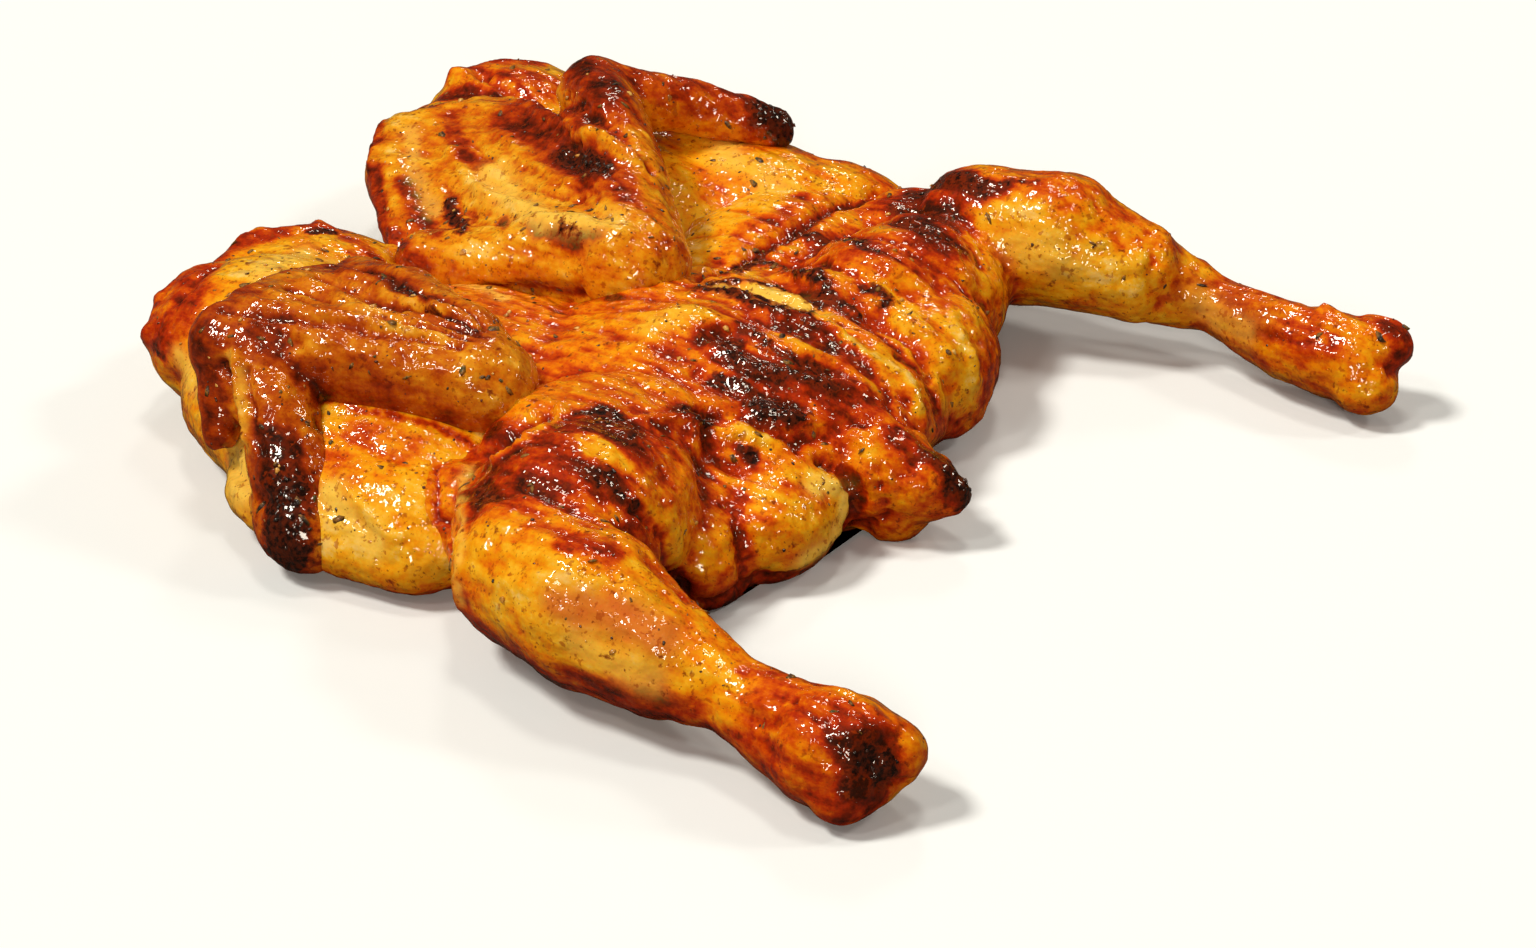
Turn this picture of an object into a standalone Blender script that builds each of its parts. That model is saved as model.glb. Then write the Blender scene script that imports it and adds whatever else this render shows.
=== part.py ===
"""A butterflied roast chicken, lying back up: one solid, in metres, +Z up.

The bird was opened through the breastbone and pressed flat. +Y points to the neck end and -Y to the
tail; the drumsticks trail along -Y, and the wings are folded on top of the two breast halves.
Every muscle is a lump of clay and every limb a tapering roll on its bones. They are pressed together
into one skin, relaxed like cooked flesh, and cut flat where the bird rests.
"""

import math

import bmesh
import bpy
from mathutils import Euler, Vector

NAME = "roast_chicken"
MM = 0.001

# Driving sizes, in millimetres.
SKIN_VOXEL = 1.8  # how finely the lumps are pressed together
SKIN_RELAX = 5  # how often the pressed skin is smoothed
TRIANGLES = 9600  # what the finished solid keeps
REST_CUT = 1.2  # how much the weight of the bird flattens underneath

# The look of the skin.
SKIN_COLOUR = (0.50, 0.17, 0.025, 1.0)
SKIN_ROUGHNESS = 0.28

# Muscles and fat: centre x, y, z; half sizes; turn about Z in degrees.
LUMPS = {
    "ribs": ((-2, 50, 16), (46, 62, 20), 0),
    "rib_cage": ((12, 58, 13), (82, 58, 12), 0),
    "loin": ((0, 0, 19), (56, 52, 22), 0),
    "pelvis": ((6, -36, 16), (44, 24, 18), 0),
    "vent_fat": ((-18, -44, 13), (24, 18, 15), 0),
    "left_hip_fat": ((-46, -38, 12), (20, 18, 14), 0),
    "left_breast": ((-62, 62, 16), (40, 62, 22), 0),
    "left_breast_keel": ((-82, 38, 13), (24, 46, 16), 0),
    "left_breast_shoulder": ((-46, 106, 19), (32, 34, 19), 20),
    "left_breast_head": ((-24, 116, 17), (34, 26, 16), 0),
    "right_breast": ((77, 98, 17), (42, 58, 22), 0),
    "right_breast_keel": ((94, 56, 16), (26, 44, 22), 0),
    "right_breast_shoulder": ((68, 130, 19), (34, 32, 18), -20),
    "right_flank": ((70, 26, 17), (42, 32, 19), 0),
    "left_flank": ((-72, 10, 15), (28, 26, 15), 0),
    "left_thigh": ((-72, -20, 20), (42, 28, 22), 12),
    "right_thigh": ((60, -14, 20), (46, 26, 22), 0),
    "right_thigh_flap": ((46, -34, 17), (26, 20, 19), 10),
}

# Limbs: stations along the bone, each x, y, z and the radius of the flesh on it.
LIMBS = {
    "tail": ((2, -40, 16, 15), (4, -56, 14, 12), (8, -67, 11, 7)),
    "left_drumstick": (
        (-100, -24, 22, 18),
        (-104, -46, 22, 19),
        (-107, -68, 19, 14),
        (-108, -88, 17, 9),
        (-109, -104, 15, 10.5),
        (-110, -118, 14, 12.5),
        (-111, -126, 13, 11.5),
    ),
    "right_drumstick": (
        (106, -12, 25, 19),
        (110, -36, 27, 17.5),
        (117, -58, 24, 14.5),
        (121, -68, 19, 10),
        (122, -76, 17, 7.5),
        (120, -96, 16, 8.5),
        (118, -114, 15, 10.5),
        (118, -127, 15, 10.5),
    ),
    "left_humerus": ((-26, 98, 30, 13), (-38, 66, 37, 13), (-50, 38, 39, 12), (-57, 25, 37, 13)),
    "left_forearm": ((-58, 25, 37, 14), (-69, 54, 40, 13), (-82, 84, 41, 11)),
    "left_hand": ((-84, 82, 40, 10), (-94, 66, 30, 9), (-104, 50, 17, 8), (-108, 42, 9, 6)),
    "left_thumb": ((-84, 86, 40, 7), (-93, 78, 26, 5)),
    "right_humerus": ((4, 92, 28, 12), (8, 62, 34, 14), (16, 40, 38, 14), (19, 32, 39, 15)),
    "right_forearm": ((21, 33, 39, 15), (46, 60, 46, 12), (72, 90, 51, 10)),
    "right_hand": ((74, 92, 51, 9), (92, 74, 46, 8), (104, 55, 40, 6)),
}

# Webs: the skin stretched over a folded wing, from its free edge to its bones, as a fan of rolls.
WEB_STRANDS = 15
WEBS = {
    "left_web": (LIMBS["left_humerus"], LIMBS["left_forearm"][::-1], 8),
    "right_web": (
        ((4, 92, 28), (20, 114, 31), (44, 132, 34), (66, 136, 36)),
        ((20, 36, 38), (46, 60, 46), (72, 90, 51), (76, 94, 50)),
        9,
    ),
}


def lump(name, centre, half_sizes, turn=0):
    """A muscle as an ellipsoid."""
    bpy.ops.mesh.primitive_uv_sphere_add(segments=32, ring_count=16, radius=1)
    clay = bpy.context.object
    clay.name = name
    clay.scale = Vector(half_sizes) * MM
    clay.location = Vector(centre) * MM
    clay.rotation_euler = Euler((0, 0, math.radians(turn)))
    bpy.ops.object.transform_apply(location=True, rotation=True, scale=True)
    return clay


def limb(name, stations):
    """A bone with its flesh: a tapering tube through the stations, with a ball at each one."""
    curve = bpy.data.curves.new(name, "CURVE")
    curve.dimensions = "3D"
    curve.bevel_depth = MM
    curve.bevel_resolution = 6
    curve.use_fill_caps = True
    spline = curve.splines.new("POLY")
    spline.points.add(len(stations) - 1)
    for point, (x, y, z, radius) in zip(spline.points, stations):
        point.co = (x * MM, y * MM, z * MM, 1)
        point.radius = radius
    tube = bpy.data.objects.new(name, curve)
    bpy.context.collection.objects.link(tube)
    bpy.context.view_layer.update()
    graph = bpy.context.evaluated_depsgraph_get()
    mesh = bpy.data.meshes.new_from_object(tube.evaluated_get(graph))
    bpy.data.objects.remove(tube)
    clay = bpy.data.objects.new(name, mesh)
    bpy.context.collection.objects.link(clay)
    balls = [lump(f"{name}_ball", (x, y, z), (r, r, r)) for x, y, z, r in stations]
    return [clay] + balls


def along(places, share):
    """The place at a share of the way along a row of places, as x, y, z."""
    step = share * (len(places) - 1)
    first = min(int(step), len(places) - 2)
    start = Vector(places[first][:3])
    end = Vector(places[first + 1][:3])
    return start.lerp(end, step - first)


def web(name, edge, bones, radius):
    """A fan of close rolls from the free edge of a fold of skin to the bones that hold it."""
    pieces = []
    for strand in range(WEB_STRANDS):
        share = strand / (WEB_STRANDS - 1)
        stations = [(*along(edge, share), radius), (*along(bones, share), radius)]
        pieces += limb(f"{name}_{strand}", stations)
    return pieces


def press_together(pieces):
    """One skin over all the lumps."""
    bpy.ops.object.select_all(action="DESELECT")
    for piece in pieces:
        piece.select_set(True)
    bpy.context.view_layer.objects.active = pieces[0]
    bpy.ops.object.join()
    bird = bpy.context.object
    press = bird.modifiers.new("press", "REMESH")
    press.mode = "VOXEL"
    press.voxel_size = SKIN_VOXEL * MM
    relax = bird.modifiers.new("relax", "SMOOTH")
    relax.factor = 0.5
    relax.iterations = SKIN_RELAX
    for modifier in list(bird.modifiers):
        bpy.ops.object.modifier_apply(modifier=modifier.name)
    return bird


def rest_on_ground(bird):
    """Cuts the underside flat, so that the bird lies on it."""
    mesh = bmesh.new()
    mesh.from_mesh(bird.data)
    bmesh.ops.bisect_plane(
        mesh,
        geom=mesh.verts[:] + mesh.edges[:] + mesh.faces[:],
        plane_co=(0, 0, REST_CUT * MM),
        plane_no=(0, 0, 1),
        clear_inner=True,
    )
    rim = [edge for edge in mesh.edges if edge.is_boundary]
    bmesh.ops.triangle_fill(mesh, edges=rim, use_beauty=True)
    bmesh.ops.recalc_face_normals(mesh, faces=mesh.faces[:])
    mesh.to_mesh(bird.data)
    mesh.free()


def thin_out(bird):
    """Leaves as many triangles as the shape needs."""
    triangles = sum(len(polygon.vertices) - 2 for polygon in bird.data.polygons)
    fewer = bird.modifiers.new("thin_out", "DECIMATE")
    fewer.ratio = min(1.0, TRIANGLES / triangles)
    bpy.ops.object.modifier_apply(modifier=fewer.name)


def centre_on_base(bird):
    """Puts the origin on the ground, under the middle of the bird."""
    places = [vertex.co for vertex in bird.data.vertices]
    low = Vector([min(place[axis] for place in places) for axis in range(3)])
    high = Vector([max(place[axis] for place in places) for axis in range(3)])
    middle = (low + high) / 2
    for vertex in bird.data.vertices:
        vertex.co -= Vector((middle.x, middle.y, low.z))
    print("moved by", [round(-value / MM, 3) for value in (middle.x, middle.y, low.z)])
    print("size", [round(value / MM, 1) for value in high - low])


def cook(bird):
    """Gives the skin its roasted colour and its gloss."""
    skin = bpy.data.materials.new("roast_skin")
    skin.use_nodes = True
    shader = skin.node_tree.nodes["Principled BSDF"]
    shader.inputs["Base Color"].default_value = SKIN_COLOUR
    shader.inputs["Roughness"].default_value = SKIN_ROUGHNESS
    shader.inputs["Metallic"].default_value = 0.0
    bird.data.materials.clear()
    bird.data.materials.append(skin)
    bird.data.shade_smooth()


def main():
    for old in list(bpy.data.objects):
        bpy.data.objects.remove(old)
    pieces = [lump(name, *sizes) for name, sizes in LUMPS.items()]
    for name, stations in LIMBS.items():
        pieces += limb(name, stations)
    for name, sizes in WEBS.items():
        pieces += web(name, *sizes)
    bird = press_together(pieces)
    rest_on_ground(bird)
    thin_out(bird)
    centre_on_base(bird)
    cook(bird)
    bird.name = NAME
    bird.data.name = NAME
    shelf = bpy.data.collections.new(NAME)
    bpy.context.scene.collection.children.link(shelf)
    for old in list(bird.users_collection):
        old.objects.unlink(bird)
    shelf.objects.link(bird)


main()
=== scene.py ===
# %% [markdown]
# # A butterflied roast chicken
# This lesson builds the looks of a whole chicken that was opened through the breast, pressed flat and
# grilled back up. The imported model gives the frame: one solid with the right size and place. Everything
# that the eye sees (skin, folds, burns, oil and herbs) is made here and stands in for that plain solid.

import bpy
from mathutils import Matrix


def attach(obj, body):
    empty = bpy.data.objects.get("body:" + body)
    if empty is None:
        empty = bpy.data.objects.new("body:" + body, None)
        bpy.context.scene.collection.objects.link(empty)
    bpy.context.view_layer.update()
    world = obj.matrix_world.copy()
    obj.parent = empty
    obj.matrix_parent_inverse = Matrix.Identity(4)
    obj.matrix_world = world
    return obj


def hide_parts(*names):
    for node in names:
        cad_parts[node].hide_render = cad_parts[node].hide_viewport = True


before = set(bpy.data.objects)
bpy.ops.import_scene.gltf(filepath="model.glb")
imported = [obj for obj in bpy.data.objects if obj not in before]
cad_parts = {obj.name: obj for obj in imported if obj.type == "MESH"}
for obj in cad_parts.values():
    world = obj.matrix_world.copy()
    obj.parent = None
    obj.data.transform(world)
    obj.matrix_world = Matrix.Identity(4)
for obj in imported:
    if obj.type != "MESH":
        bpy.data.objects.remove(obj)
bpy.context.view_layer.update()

# %% [markdown]
# ## Measures
# A cook measures a bird in millimetres from a mark on its spine, and Blender counts in metres from the
# middle of the base. A small helper does that sum, so every table below can be read with a ruler.
# X runs from the bird's left to its right, Y from tail to neck, and Z up.

# %% Measures
import itertools
import math

import bpy
import numpy as np
from mathutils import Vector
from mathutils.kdtree import KDTree

MM = 0.001
HOME = Vector((4.31, 12.38, 1.19))  # the middle of the base, from the mark on the spine


def at(x, y, z):
    """A place in metres, from millimetres off the mark on the spine."""
    return (Vector((x, y, z)) - HOME) * MM


print("the mark on the spine, in metres:", [round(v, 5) for v in at(0, 0, 0)])

# %% [markdown]
# Blender's operators act on whatever is selected. These helpers select, apply and count, so that no step
# depends on what an earlier one left selected.

# %% Selecting and counting
def deselect():
    """Operators act on all that is selected, so each step starts from nothing."""
    bpy.ops.object.select_all(action="DESELECT")


def pick(*pieces):
    """Selects only these pieces, the first of them as the active one."""
    deselect()
    for piece in pieces:
        piece.select_set(True)
    bpy.context.view_layer.objects.active = pieces[0]


def apply_all(piece):
    """Applies a piece's modifiers in their order."""
    pick(piece)
    for modifier in list(piece.modifiers):
        bpy.ops.object.modifier_apply(modifier=modifier.name)


def triangles(piece):
    """How many triangles a piece's faces come to."""
    return sum(len(face.vertices) - 2 for face in piece.data.polygons)


# %% [markdown]
# ## Clay
# A cooked bird has no straight edge anywhere. It could be drawn as one cage and subdivided, but muscles
# overlap and bulge, and that is what clay does well: each muscle is a squashed ball, each limb a tapering
# roll with a ball at every joint. A voxel remesh presses them into one skin and smoothing relaxes it.
# Wings and breasts are pressed apart from the back, so that the lines where they lie on it stay crisp.

# %% Lumps and rolls
def lump(centre, half_sizes, turn=0):
    """A muscle as a squashed ball."""
    bpy.ops.mesh.primitive_uv_sphere_add(segments=32, ring_count=16, radius=1)
    clay = bpy.context.object
    clay.scale = Vector(half_sizes) * MM
    clay.location = at(*centre)
    clay.rotation_euler.z = math.radians(turn)
    bpy.ops.object.transform_apply(location=True, rotation=True, scale=True)
    return clay


def roll(stations, joints=True):
    """A tapering roll of flesh through stations of x, y, z and radius."""
    curve = bpy.data.curves.new("roll", "CURVE")
    curve.dimensions = "3D"
    curve.bevel_depth = MM
    curve.bevel_resolution = 5
    curve.use_fill_caps = True
    spline = curve.splines.new("POLY")
    spline.points.add(len(stations) - 1)
    for point, (x, y, z, radius) in zip(spline.points, stations):
        point.co = (*at(x, y, z), 1)
        point.radius = radius
    tube = bpy.data.objects.new("roll", curve)
    bpy.context.collection.objects.link(tube)
    bpy.context.view_layer.update()
    mesh = bpy.data.meshes.new_from_object(tube.evaluated_get(bpy.context.evaluated_depsgraph_get()))
    bpy.data.objects.remove(tube)
    clay = bpy.data.objects.new("roll", mesh)
    bpy.context.collection.objects.link(clay)
    return [clay] + [lump((x, y, z), (r, r, r)) for x, y, z, r in stations if joints]


# %% [markdown]
# Between two bones the skin is stretched like a sail. A fan of close, thin rolls from the free edge to the
# bones becomes that sail once it is pressed, and a row of balls along the edge becomes its hem.

# %% Webs of skin
FAN_ROLLS = 36
HEM_STEPS = 12


def along(places, share):
    """The place at a share of the way along a row of places."""
    step = share * (len(places) - 1)
    first = min(int(step), len(places) - 2)
    return Vector(places[first][:3]).lerp(Vector(places[first + 1][:3]), step - first)


def web(edge, bones, radius):
    """Skin stretched from a free edge to the bones, as a fan of close rolls with a hem."""
    clay = []
    for number in range(FAN_ROLLS):
        share = number / (FAN_ROLLS - 1)
        clay += roll([(*along(edge, share), radius), (*along(bones, share), radius)], joints=False)
    clay += roll([(*along(edge, step / HEM_STEPS), radius) for step in range(HEM_STEPS + 1)])
    return clay


print(FAN_ROLLS, "rolls to a web and", HEM_STEPS, "steps to its hem")

# %% [markdown]
# Pressing keeps only the outer surface of the overlapping clay. The underside is flat because the bird lies
# on it: bisect cuts away what is below the ground and fills the cut with one face.

# %% Pressing
def press(name, clay, voxel, relax):
    """Presses lumps of clay into one skin."""
    pick(*clay)
    bpy.ops.object.join()
    skin = bpy.context.object
    skin.name = skin.data.name = name
    remesh = skin.modifiers.new("press", "REMESH")
    remesh.mode = "VOXEL"
    remesh.voxel_size = voxel * MM
    smooth = skin.modifiers.new("relax", "SMOOTH")
    smooth.factor = 0.5
    smooth.iterations = relax
    apply_all(skin)
    return skin


def flatten(skin):
    """Cuts a skin off at the ground and fills the cut with one face."""
    pick(skin)
    bpy.ops.object.mode_set(mode="EDIT")
    bpy.ops.mesh.select_all(action="SELECT")
    bpy.ops.mesh.bisect(plane_co=(0, 0, 0), plane_no=(0, 0, 1), clear_inner=True, use_fill=True)
    bpy.ops.mesh.quads_convert_to_tris()
    bpy.ops.object.mode_set(mode="OBJECT")


# %% [markdown]
# ## Back and legs
# The opened bird lies on its breast halves. The back is in the middle, thighs and drumsticks trail towards
# the tail, and pads of fat bulge between the thigh and the tail. Each row is a middle, half sizes and a
# turn in degrees, and each place along a limb has its radius.

# %% Back clay
BACK = {
    "ribs": ((-22, 46, 14), (36, 60, 21), 0),
    "rib_cage": ((12, 58, 11), (70, 56, 11), 0),
    "loin": ((0, 0, 19), (56, 52, 22), 0),
    "rump": ((8, -30, 17), (40, 28, 20), 0),
    "vent_fat": ((-24, -42, 13), (24, 16, 14), 0),
    "left_hip_pad": ((-35, -44, 12), (19, 17, 14), 0),
    "left_hip_roll": ((-56, -41, 10), (14, 12, 12), 0),
    "left_hip_fat": ((-48, -34, 12), (20, 16, 15), 0),
    "right_flank": ((70, 26, 17), (42, 32, 19), 0),
    "left_flank": ((-72, 10, 15), (26, 24, 15), 0),
    "left_thigh": ((-74, -18, 21), (40, 28, 22), 12),
    "left_thigh_top": ((-52, -6, 26), (34, 26, 16), 0),
    "right_thigh": ((60, -14, 20), (46, 26, 22), 0),
    "right_thigh_shoulder": ((96, 5, 20), (22, 20, 16), 0),
    "right_thigh_flap": ((46, -34, 17), (26, 20, 19), 10),
}
TAIL = ((0, -42, 17, 16), (-4, -57, 16, 13), (-3, -67, 15, 9.5), (-1, -74, 14, 5.5))
TAIL_VENT = ((0, -42, 10, 14), (-4, -60, 8, 10))
LEFT_LEG = (
    (-100, -24, 22, 18), (-104, -46, 22, 19), (-107, -68, 19, 14), (-108, -88, 17, 9),
    (-109, -103, 15, 11.5), (-110, -114, 14.5, 13.5), (-109, -119, 14, 13.5),
)
LEFT_KNUCKLES = {
    "near": ((-104, -127, 15), (8, 8, 8), 0),
    "under": ((-114, -122, 9), (9, 8, 7.5), 0),
    "top": ((-107, -121, 19), (8, 9, 7), 0),
}
RIGHT_LEG = (
    (105, -13, 26, 19), (110, -36, 28.5, 18), (114, -57, 24, 13.5), (120, -68, 19, 9.5),
    (122, -77, 17, 7.5), (120, -90, 15.5, 9), (118, -103, 15, 10.5), (118, -114, 15, 11.5),
    (118, -121, 15, 11),
)
RIGHT_KNUCKLES = {
    "top": ((122, -125, 19.5), (8.5, 10, 7), 0),
    "middle": ((119, -124, 15), (8, 9, 7), 0),
    "under": ((115, -126, 11), (9, 9, 8), 0),
}
BACK_VOXEL = 1.12

clay = [lump(*sizes) for table in (BACK, LEFT_KNUCKLES, RIGHT_KNUCKLES) for sizes in table.values()]
for stations in (TAIL, TAIL_VENT, LEFT_LEG, RIGHT_LEG):
    clay += roll(stations)
back = press("skin_back", clay, BACK_VOXEL, 12)
flatten(back)
print("back:", triangles(back), "triangles")

# %% [markdown]
# ## Breasts
# The bird was cut through the breast, so each half is a thick pad under a wing. The skin is stretched over
# a round shoulder and ends in a rolled rim at the neck.

# %% Breast clay
LEFT_BREAST = {
    "main": ((-60, 62, 16), (36, 64, 22), -10),
    "keel": ((-82, 38, 13), (24, 46, 16), 0),
    "shoulder": ((-45, 105, 20), (29, 34, 21), 20),
    "head": ((-24, 116, 18), (34, 28, 18), 0),
}
RIGHT_BREAST = {
    "main": ((77, 98, 17), (42, 58, 22), 0),
    "keel": ((94, 56, 16), (26, 44, 22), 0),
    "tail_end": ((102, 32, 18), (20, 26, 17), 0),
    "under_hand": ((98, 74, 21), (22, 24, 18), 0),
    "shoulder": ((66, 130, 20), (32, 33, 20), -20),
    "neck_rim": ((88, 134, 21), (30, 30, 21), -20),
}
BREAST_VOXEL = 1.0

left_breast = press("skin_left_breast", [lump(*sizes) for sizes in LEFT_BREAST.values()], BREAST_VOXEL, 20)
right_breast = press("skin_right_breast", [lump(*sizes) for sizes in RIGHT_BREAST.values()], BREAST_VOXEL, 20)
for breast in (left_breast, right_breast):
    flatten(breast)
    print(breast.name, triangles(breast), "triangles")

# %% [markdown]
# ## Wings
# Each wing is folded on the breast: upper arm back to the elbow, forearm forward to the wrist, and the hand
# with its tip hanging over the side. A web of skin closes the gap between upper arm and forearm.

# %% Wing clay
WING_VOXEL = 0.8
LEFT_ARM = ((-30, 89, 31, 11), (-39, 66, 37, 12), (-50, 38, 39, 12), (-57, 25, 37, 13))
LEFT_FOREARM = ((-58, 25, 37, 14), (-69, 54, 40, 13), (-82, 84, 41, 11))
LEFT_HAND = ((-82, 77, 41, 10), (-89, 63, 32, 10.5), (-98, 51, 21, 10), (-104, 43, 13, 8.5))
LEFT_THUMB = ((-84, 85, 40, 7), (-90, 80, 32, 6.5), (-95, 77, 24, 5))
LEFT_FOLD = ((-82, 86, 41), (-72, 91, 41), (-54, 92, 39), (-38, 92, 35))
LEFT_BONES = ((-82, 84, 41), (-69, 54, 42), (-57, 28, 39), (-39, 66, 39), (-30, 89, 32))
RIGHT_ARM = ((4, 94, 26, 10), (9, 68, 32, 11), (14, 50, 36, 12.5), (15, 36, 36, 15))
RIGHT_FOREARM = ((17, 36, 37, 15), (45, 62, 46, 12), (70, 89, 50, 11), (73, 93, 51, 10.5))
RIGHT_HAND = ((74, 92, 51, 9), (92, 74, 46, 8), (104, 55, 40, 6))
RIGHT_RIDGE = ((52, 143, 31), (66, 128, 35), (60, 104, 39), (52, 82, 43), (46, 62, 45))
RIGHT_UNDER = ((10, 97, 22), (12, 78, 29), (14, 60, 35), (15, 46, 38), (17, 37, 39))
RIGHT_EDGE = ((8, 98, 22), (19, 114, 25), (37, 134, 28), (52, 144, 31))

left = web(LEFT_FOLD, LEFT_BONES, 8)
for stations in (LEFT_ARM, LEFT_FOREARM, LEFT_HAND, LEFT_THUMB):
    left += roll(stations)
left_wing = press("skin_left_wing", left, WING_VOXEL, 16)

right = web(RIGHT_RIDGE, RIGHT_UNDER, 9)
right += roll([(*place, 9) for place in RIGHT_EDGE])
for stations in (RIGHT_ARM, RIGHT_FOREARM, RIGHT_HAND):
    right += roll(stations)
right_wing = press("skin_right_wing", right, WING_VOXEL, 16)
for wing in (left_wing, right_wing):
    print(wing.name, triangles(wing), "triangles")

# %% [markdown]
# ## Sculpting tools
# The clay has the right masses but none of the folds. In a sculpting window they would be brushed on with a
# pen. Here each brush stroke is a short path in millimetres: it is laid onto the skin, and every vertex
# near it moves along the skin's normal. The same strokes, with other widths, later paint the roasting.
# All natural unevenness comes from one soft noise, made from a small cube of random numbers.

# %% Noise
DICE = np.random.default_rng(11)
GRAIN = DICE.uniform(-1, 1, (32, 32, 32))


def grain(spots, size, layer=0):
    """Smooth noise from -1 to 1; size is the mm from one grain to the next, as one number or three."""
    cell = spots / np.asarray(size, float) + 5.37 * layer
    low = np.floor(cell).astype(int)
    part = cell - low
    part = part * part * (3 - 2 * part)
    total = np.zeros(len(spots))
    for corner in itertools.product((0, 1), repeat=3):
        share = np.prod(np.where(corner, part, 1 - part), axis=1)
        x, y, z = ((low + corner) % 32).T
        total += share * GRAIN[x, y, z]
    return total


def rough(spots, size, layer=0, octaves=3):
    """Several noises on top of each other, each half as big."""
    size = np.asarray(size, float)
    return sum(grain(spots, size / 2 ** n, layer + n) / 2 ** n for n in range(octaves)) / 1.6


print("a cube of", GRAIN.size, "random numbers")

# %% [markdown]
# A path is laid onto the skin by looking up the nearest vertex. A place with two numbers is meant from
# above, so the highest skin in every small square is noted. A place on a side or under an edge has three.

# %% Feeling the skin
skins = {piece.name: piece for piece in (back, left_breast, right_breast, left_wing, right_wing)}
CELL = 2.0  # mm, the squares in which the highest skin is looked up


def read(skin):
    """The skin's vertices in mm from the mark on the spine, and the direction out of the skin there."""
    spots, out = (np.empty(len(skin.data.vertices) * 3) for _ in range(2))
    skin.data.vertices.foreach_get("co", spots)
    skin.data.vertices.foreach_get("normal", out)
    return spots.reshape(-1, 3) / MM + np.array(HOME), out.reshape(-1, 3)


def write(skin, spots):
    """Puts the vertices back, none of them below the ground."""
    place = (spots - np.array(HOME)) * MM
    place[:, 2] = np.maximum(place[:, 2], 0)
    skin.data.vertices.foreach_set("co", place.ravel())
    skin.data.update()


def square(x, y):
    """The square that a place falls in."""
    return np.round(np.asarray(x) / CELL).astype(int) + 120, np.round(np.asarray(y) / CELL).astype(int) + 120


def feel(some):
    """What a hand would feel of some skins: a search tree, and the highest skin in each square."""
    every = np.concatenate([read(skin)[0] for skin in some])
    tree = KDTree(len(every))
    for index, spot in enumerate(every):
        tree.insert(spot, index)
    tree.balance()
    tops = np.zeros((240, 240))
    np.maximum.at(tops, square(every[:, 0], every[:, 1]), every[:, 2])
    return tree, tops


def lay(felt, path, step=1.5):
    """Divides a path into short steps and lays them onto the skin."""
    tree, tops = felt
    laid = []
    for start, end in zip(path, path[1:] or path):
        count = max(1, round(math.dist(start, end) / step))
        for n in range(count + 1):
            place = [a + (b - a) * n / count for a, b in zip(start, end)]
            if len(place) == 2:
                place.append(tops[square(*place)])
            laid.append(tree.find(place)[0])
    return np.array(laid)


print("skins:", ", ".join(skins))

# %% [markdown]
# A stroke is strongest on its path and fades to both sides, so neighbouring strokes blend like thumb marks.

# %% Brushes
def nearness(spots, path, width):
    """From 1 on a path to 0 three widths away."""
    near = np.zeros(len(spots))
    low, high = path.min(axis=0) - 2.6 * width, path.max(axis=0) + 2.6 * width
    some = np.flatnonzero(((spots > low) & (spots < high)).all(axis=1))
    if len(some):
        apart = np.full(len(some), np.inf)
        for point in path:
            apart = np.minimum(apart, ((spots[some] - point) ** 2).sum(axis=1))
        near[some] = np.exp(-apart / width ** 2)
    return near


def brush(strokes, wobble=0.0):
    """Raises or sinks the skin along each stroke of name, rise in mm, width in mm, and places."""
    felt = feel(skins.values())
    laid = [(rise, width, lay(felt, path)) for _, rise, width, *path in strokes]
    for skin in skins.values():
        spots, out = read(skin)
        shaken = spots + wobble * np.stack([grain(spots, 7, n) for n in (3, 4, 5)], axis=1)
        move = np.zeros(len(spots))
        for rise, width, path in laid:
            move += rise * nearness(shaken, path, width)
        write(skin, spots + out * move[:, None])


# %% [markdown]
# Juice gathers in folds and shade falls in them, and both are painted, so the script has to know where they
# are.
# Each vertex is averaged with its neighbours many times, and where the skin lies below that softened shape
# there is a hollow.

# %% Hollows
def soften(skin, values, rounds):
    """Averages the vertices' values with those of their neighbours, so many times."""
    ends = np.empty(len(skin.data.edges) * 2, int)
    skin.data.edges.foreach_get("vertices", ends)
    first, second = ends.reshape(-1, 2).T
    count = np.bincount(ends, minlength=len(values)).clip(1)[:, None]
    for _ in range(rounds):
        total = np.stack([np.bincount(first, column[second], len(values))
                          + np.bincount(second, column[first], len(values)) for column in values.T], axis=1)
        values = 0.5 * values + 0.5 * total / count
    return values


def hollow(skin, rounds):
    """How many mm the skin lies below its own softened shape: above 0 in folds, below 0 on ridges."""
    spots, out = read(skin)
    return ((soften(skin, spots, rounds) - spots) * out).sum(axis=1)


# %% [markdown]
# ## Folds and creases
# The muscles show through the skin as soft swellings, and it hangs in folds where a limb meets the body.
# Swells come first because they are broad. A row is a name, a rise in mm, a width in mm, and places.

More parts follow.
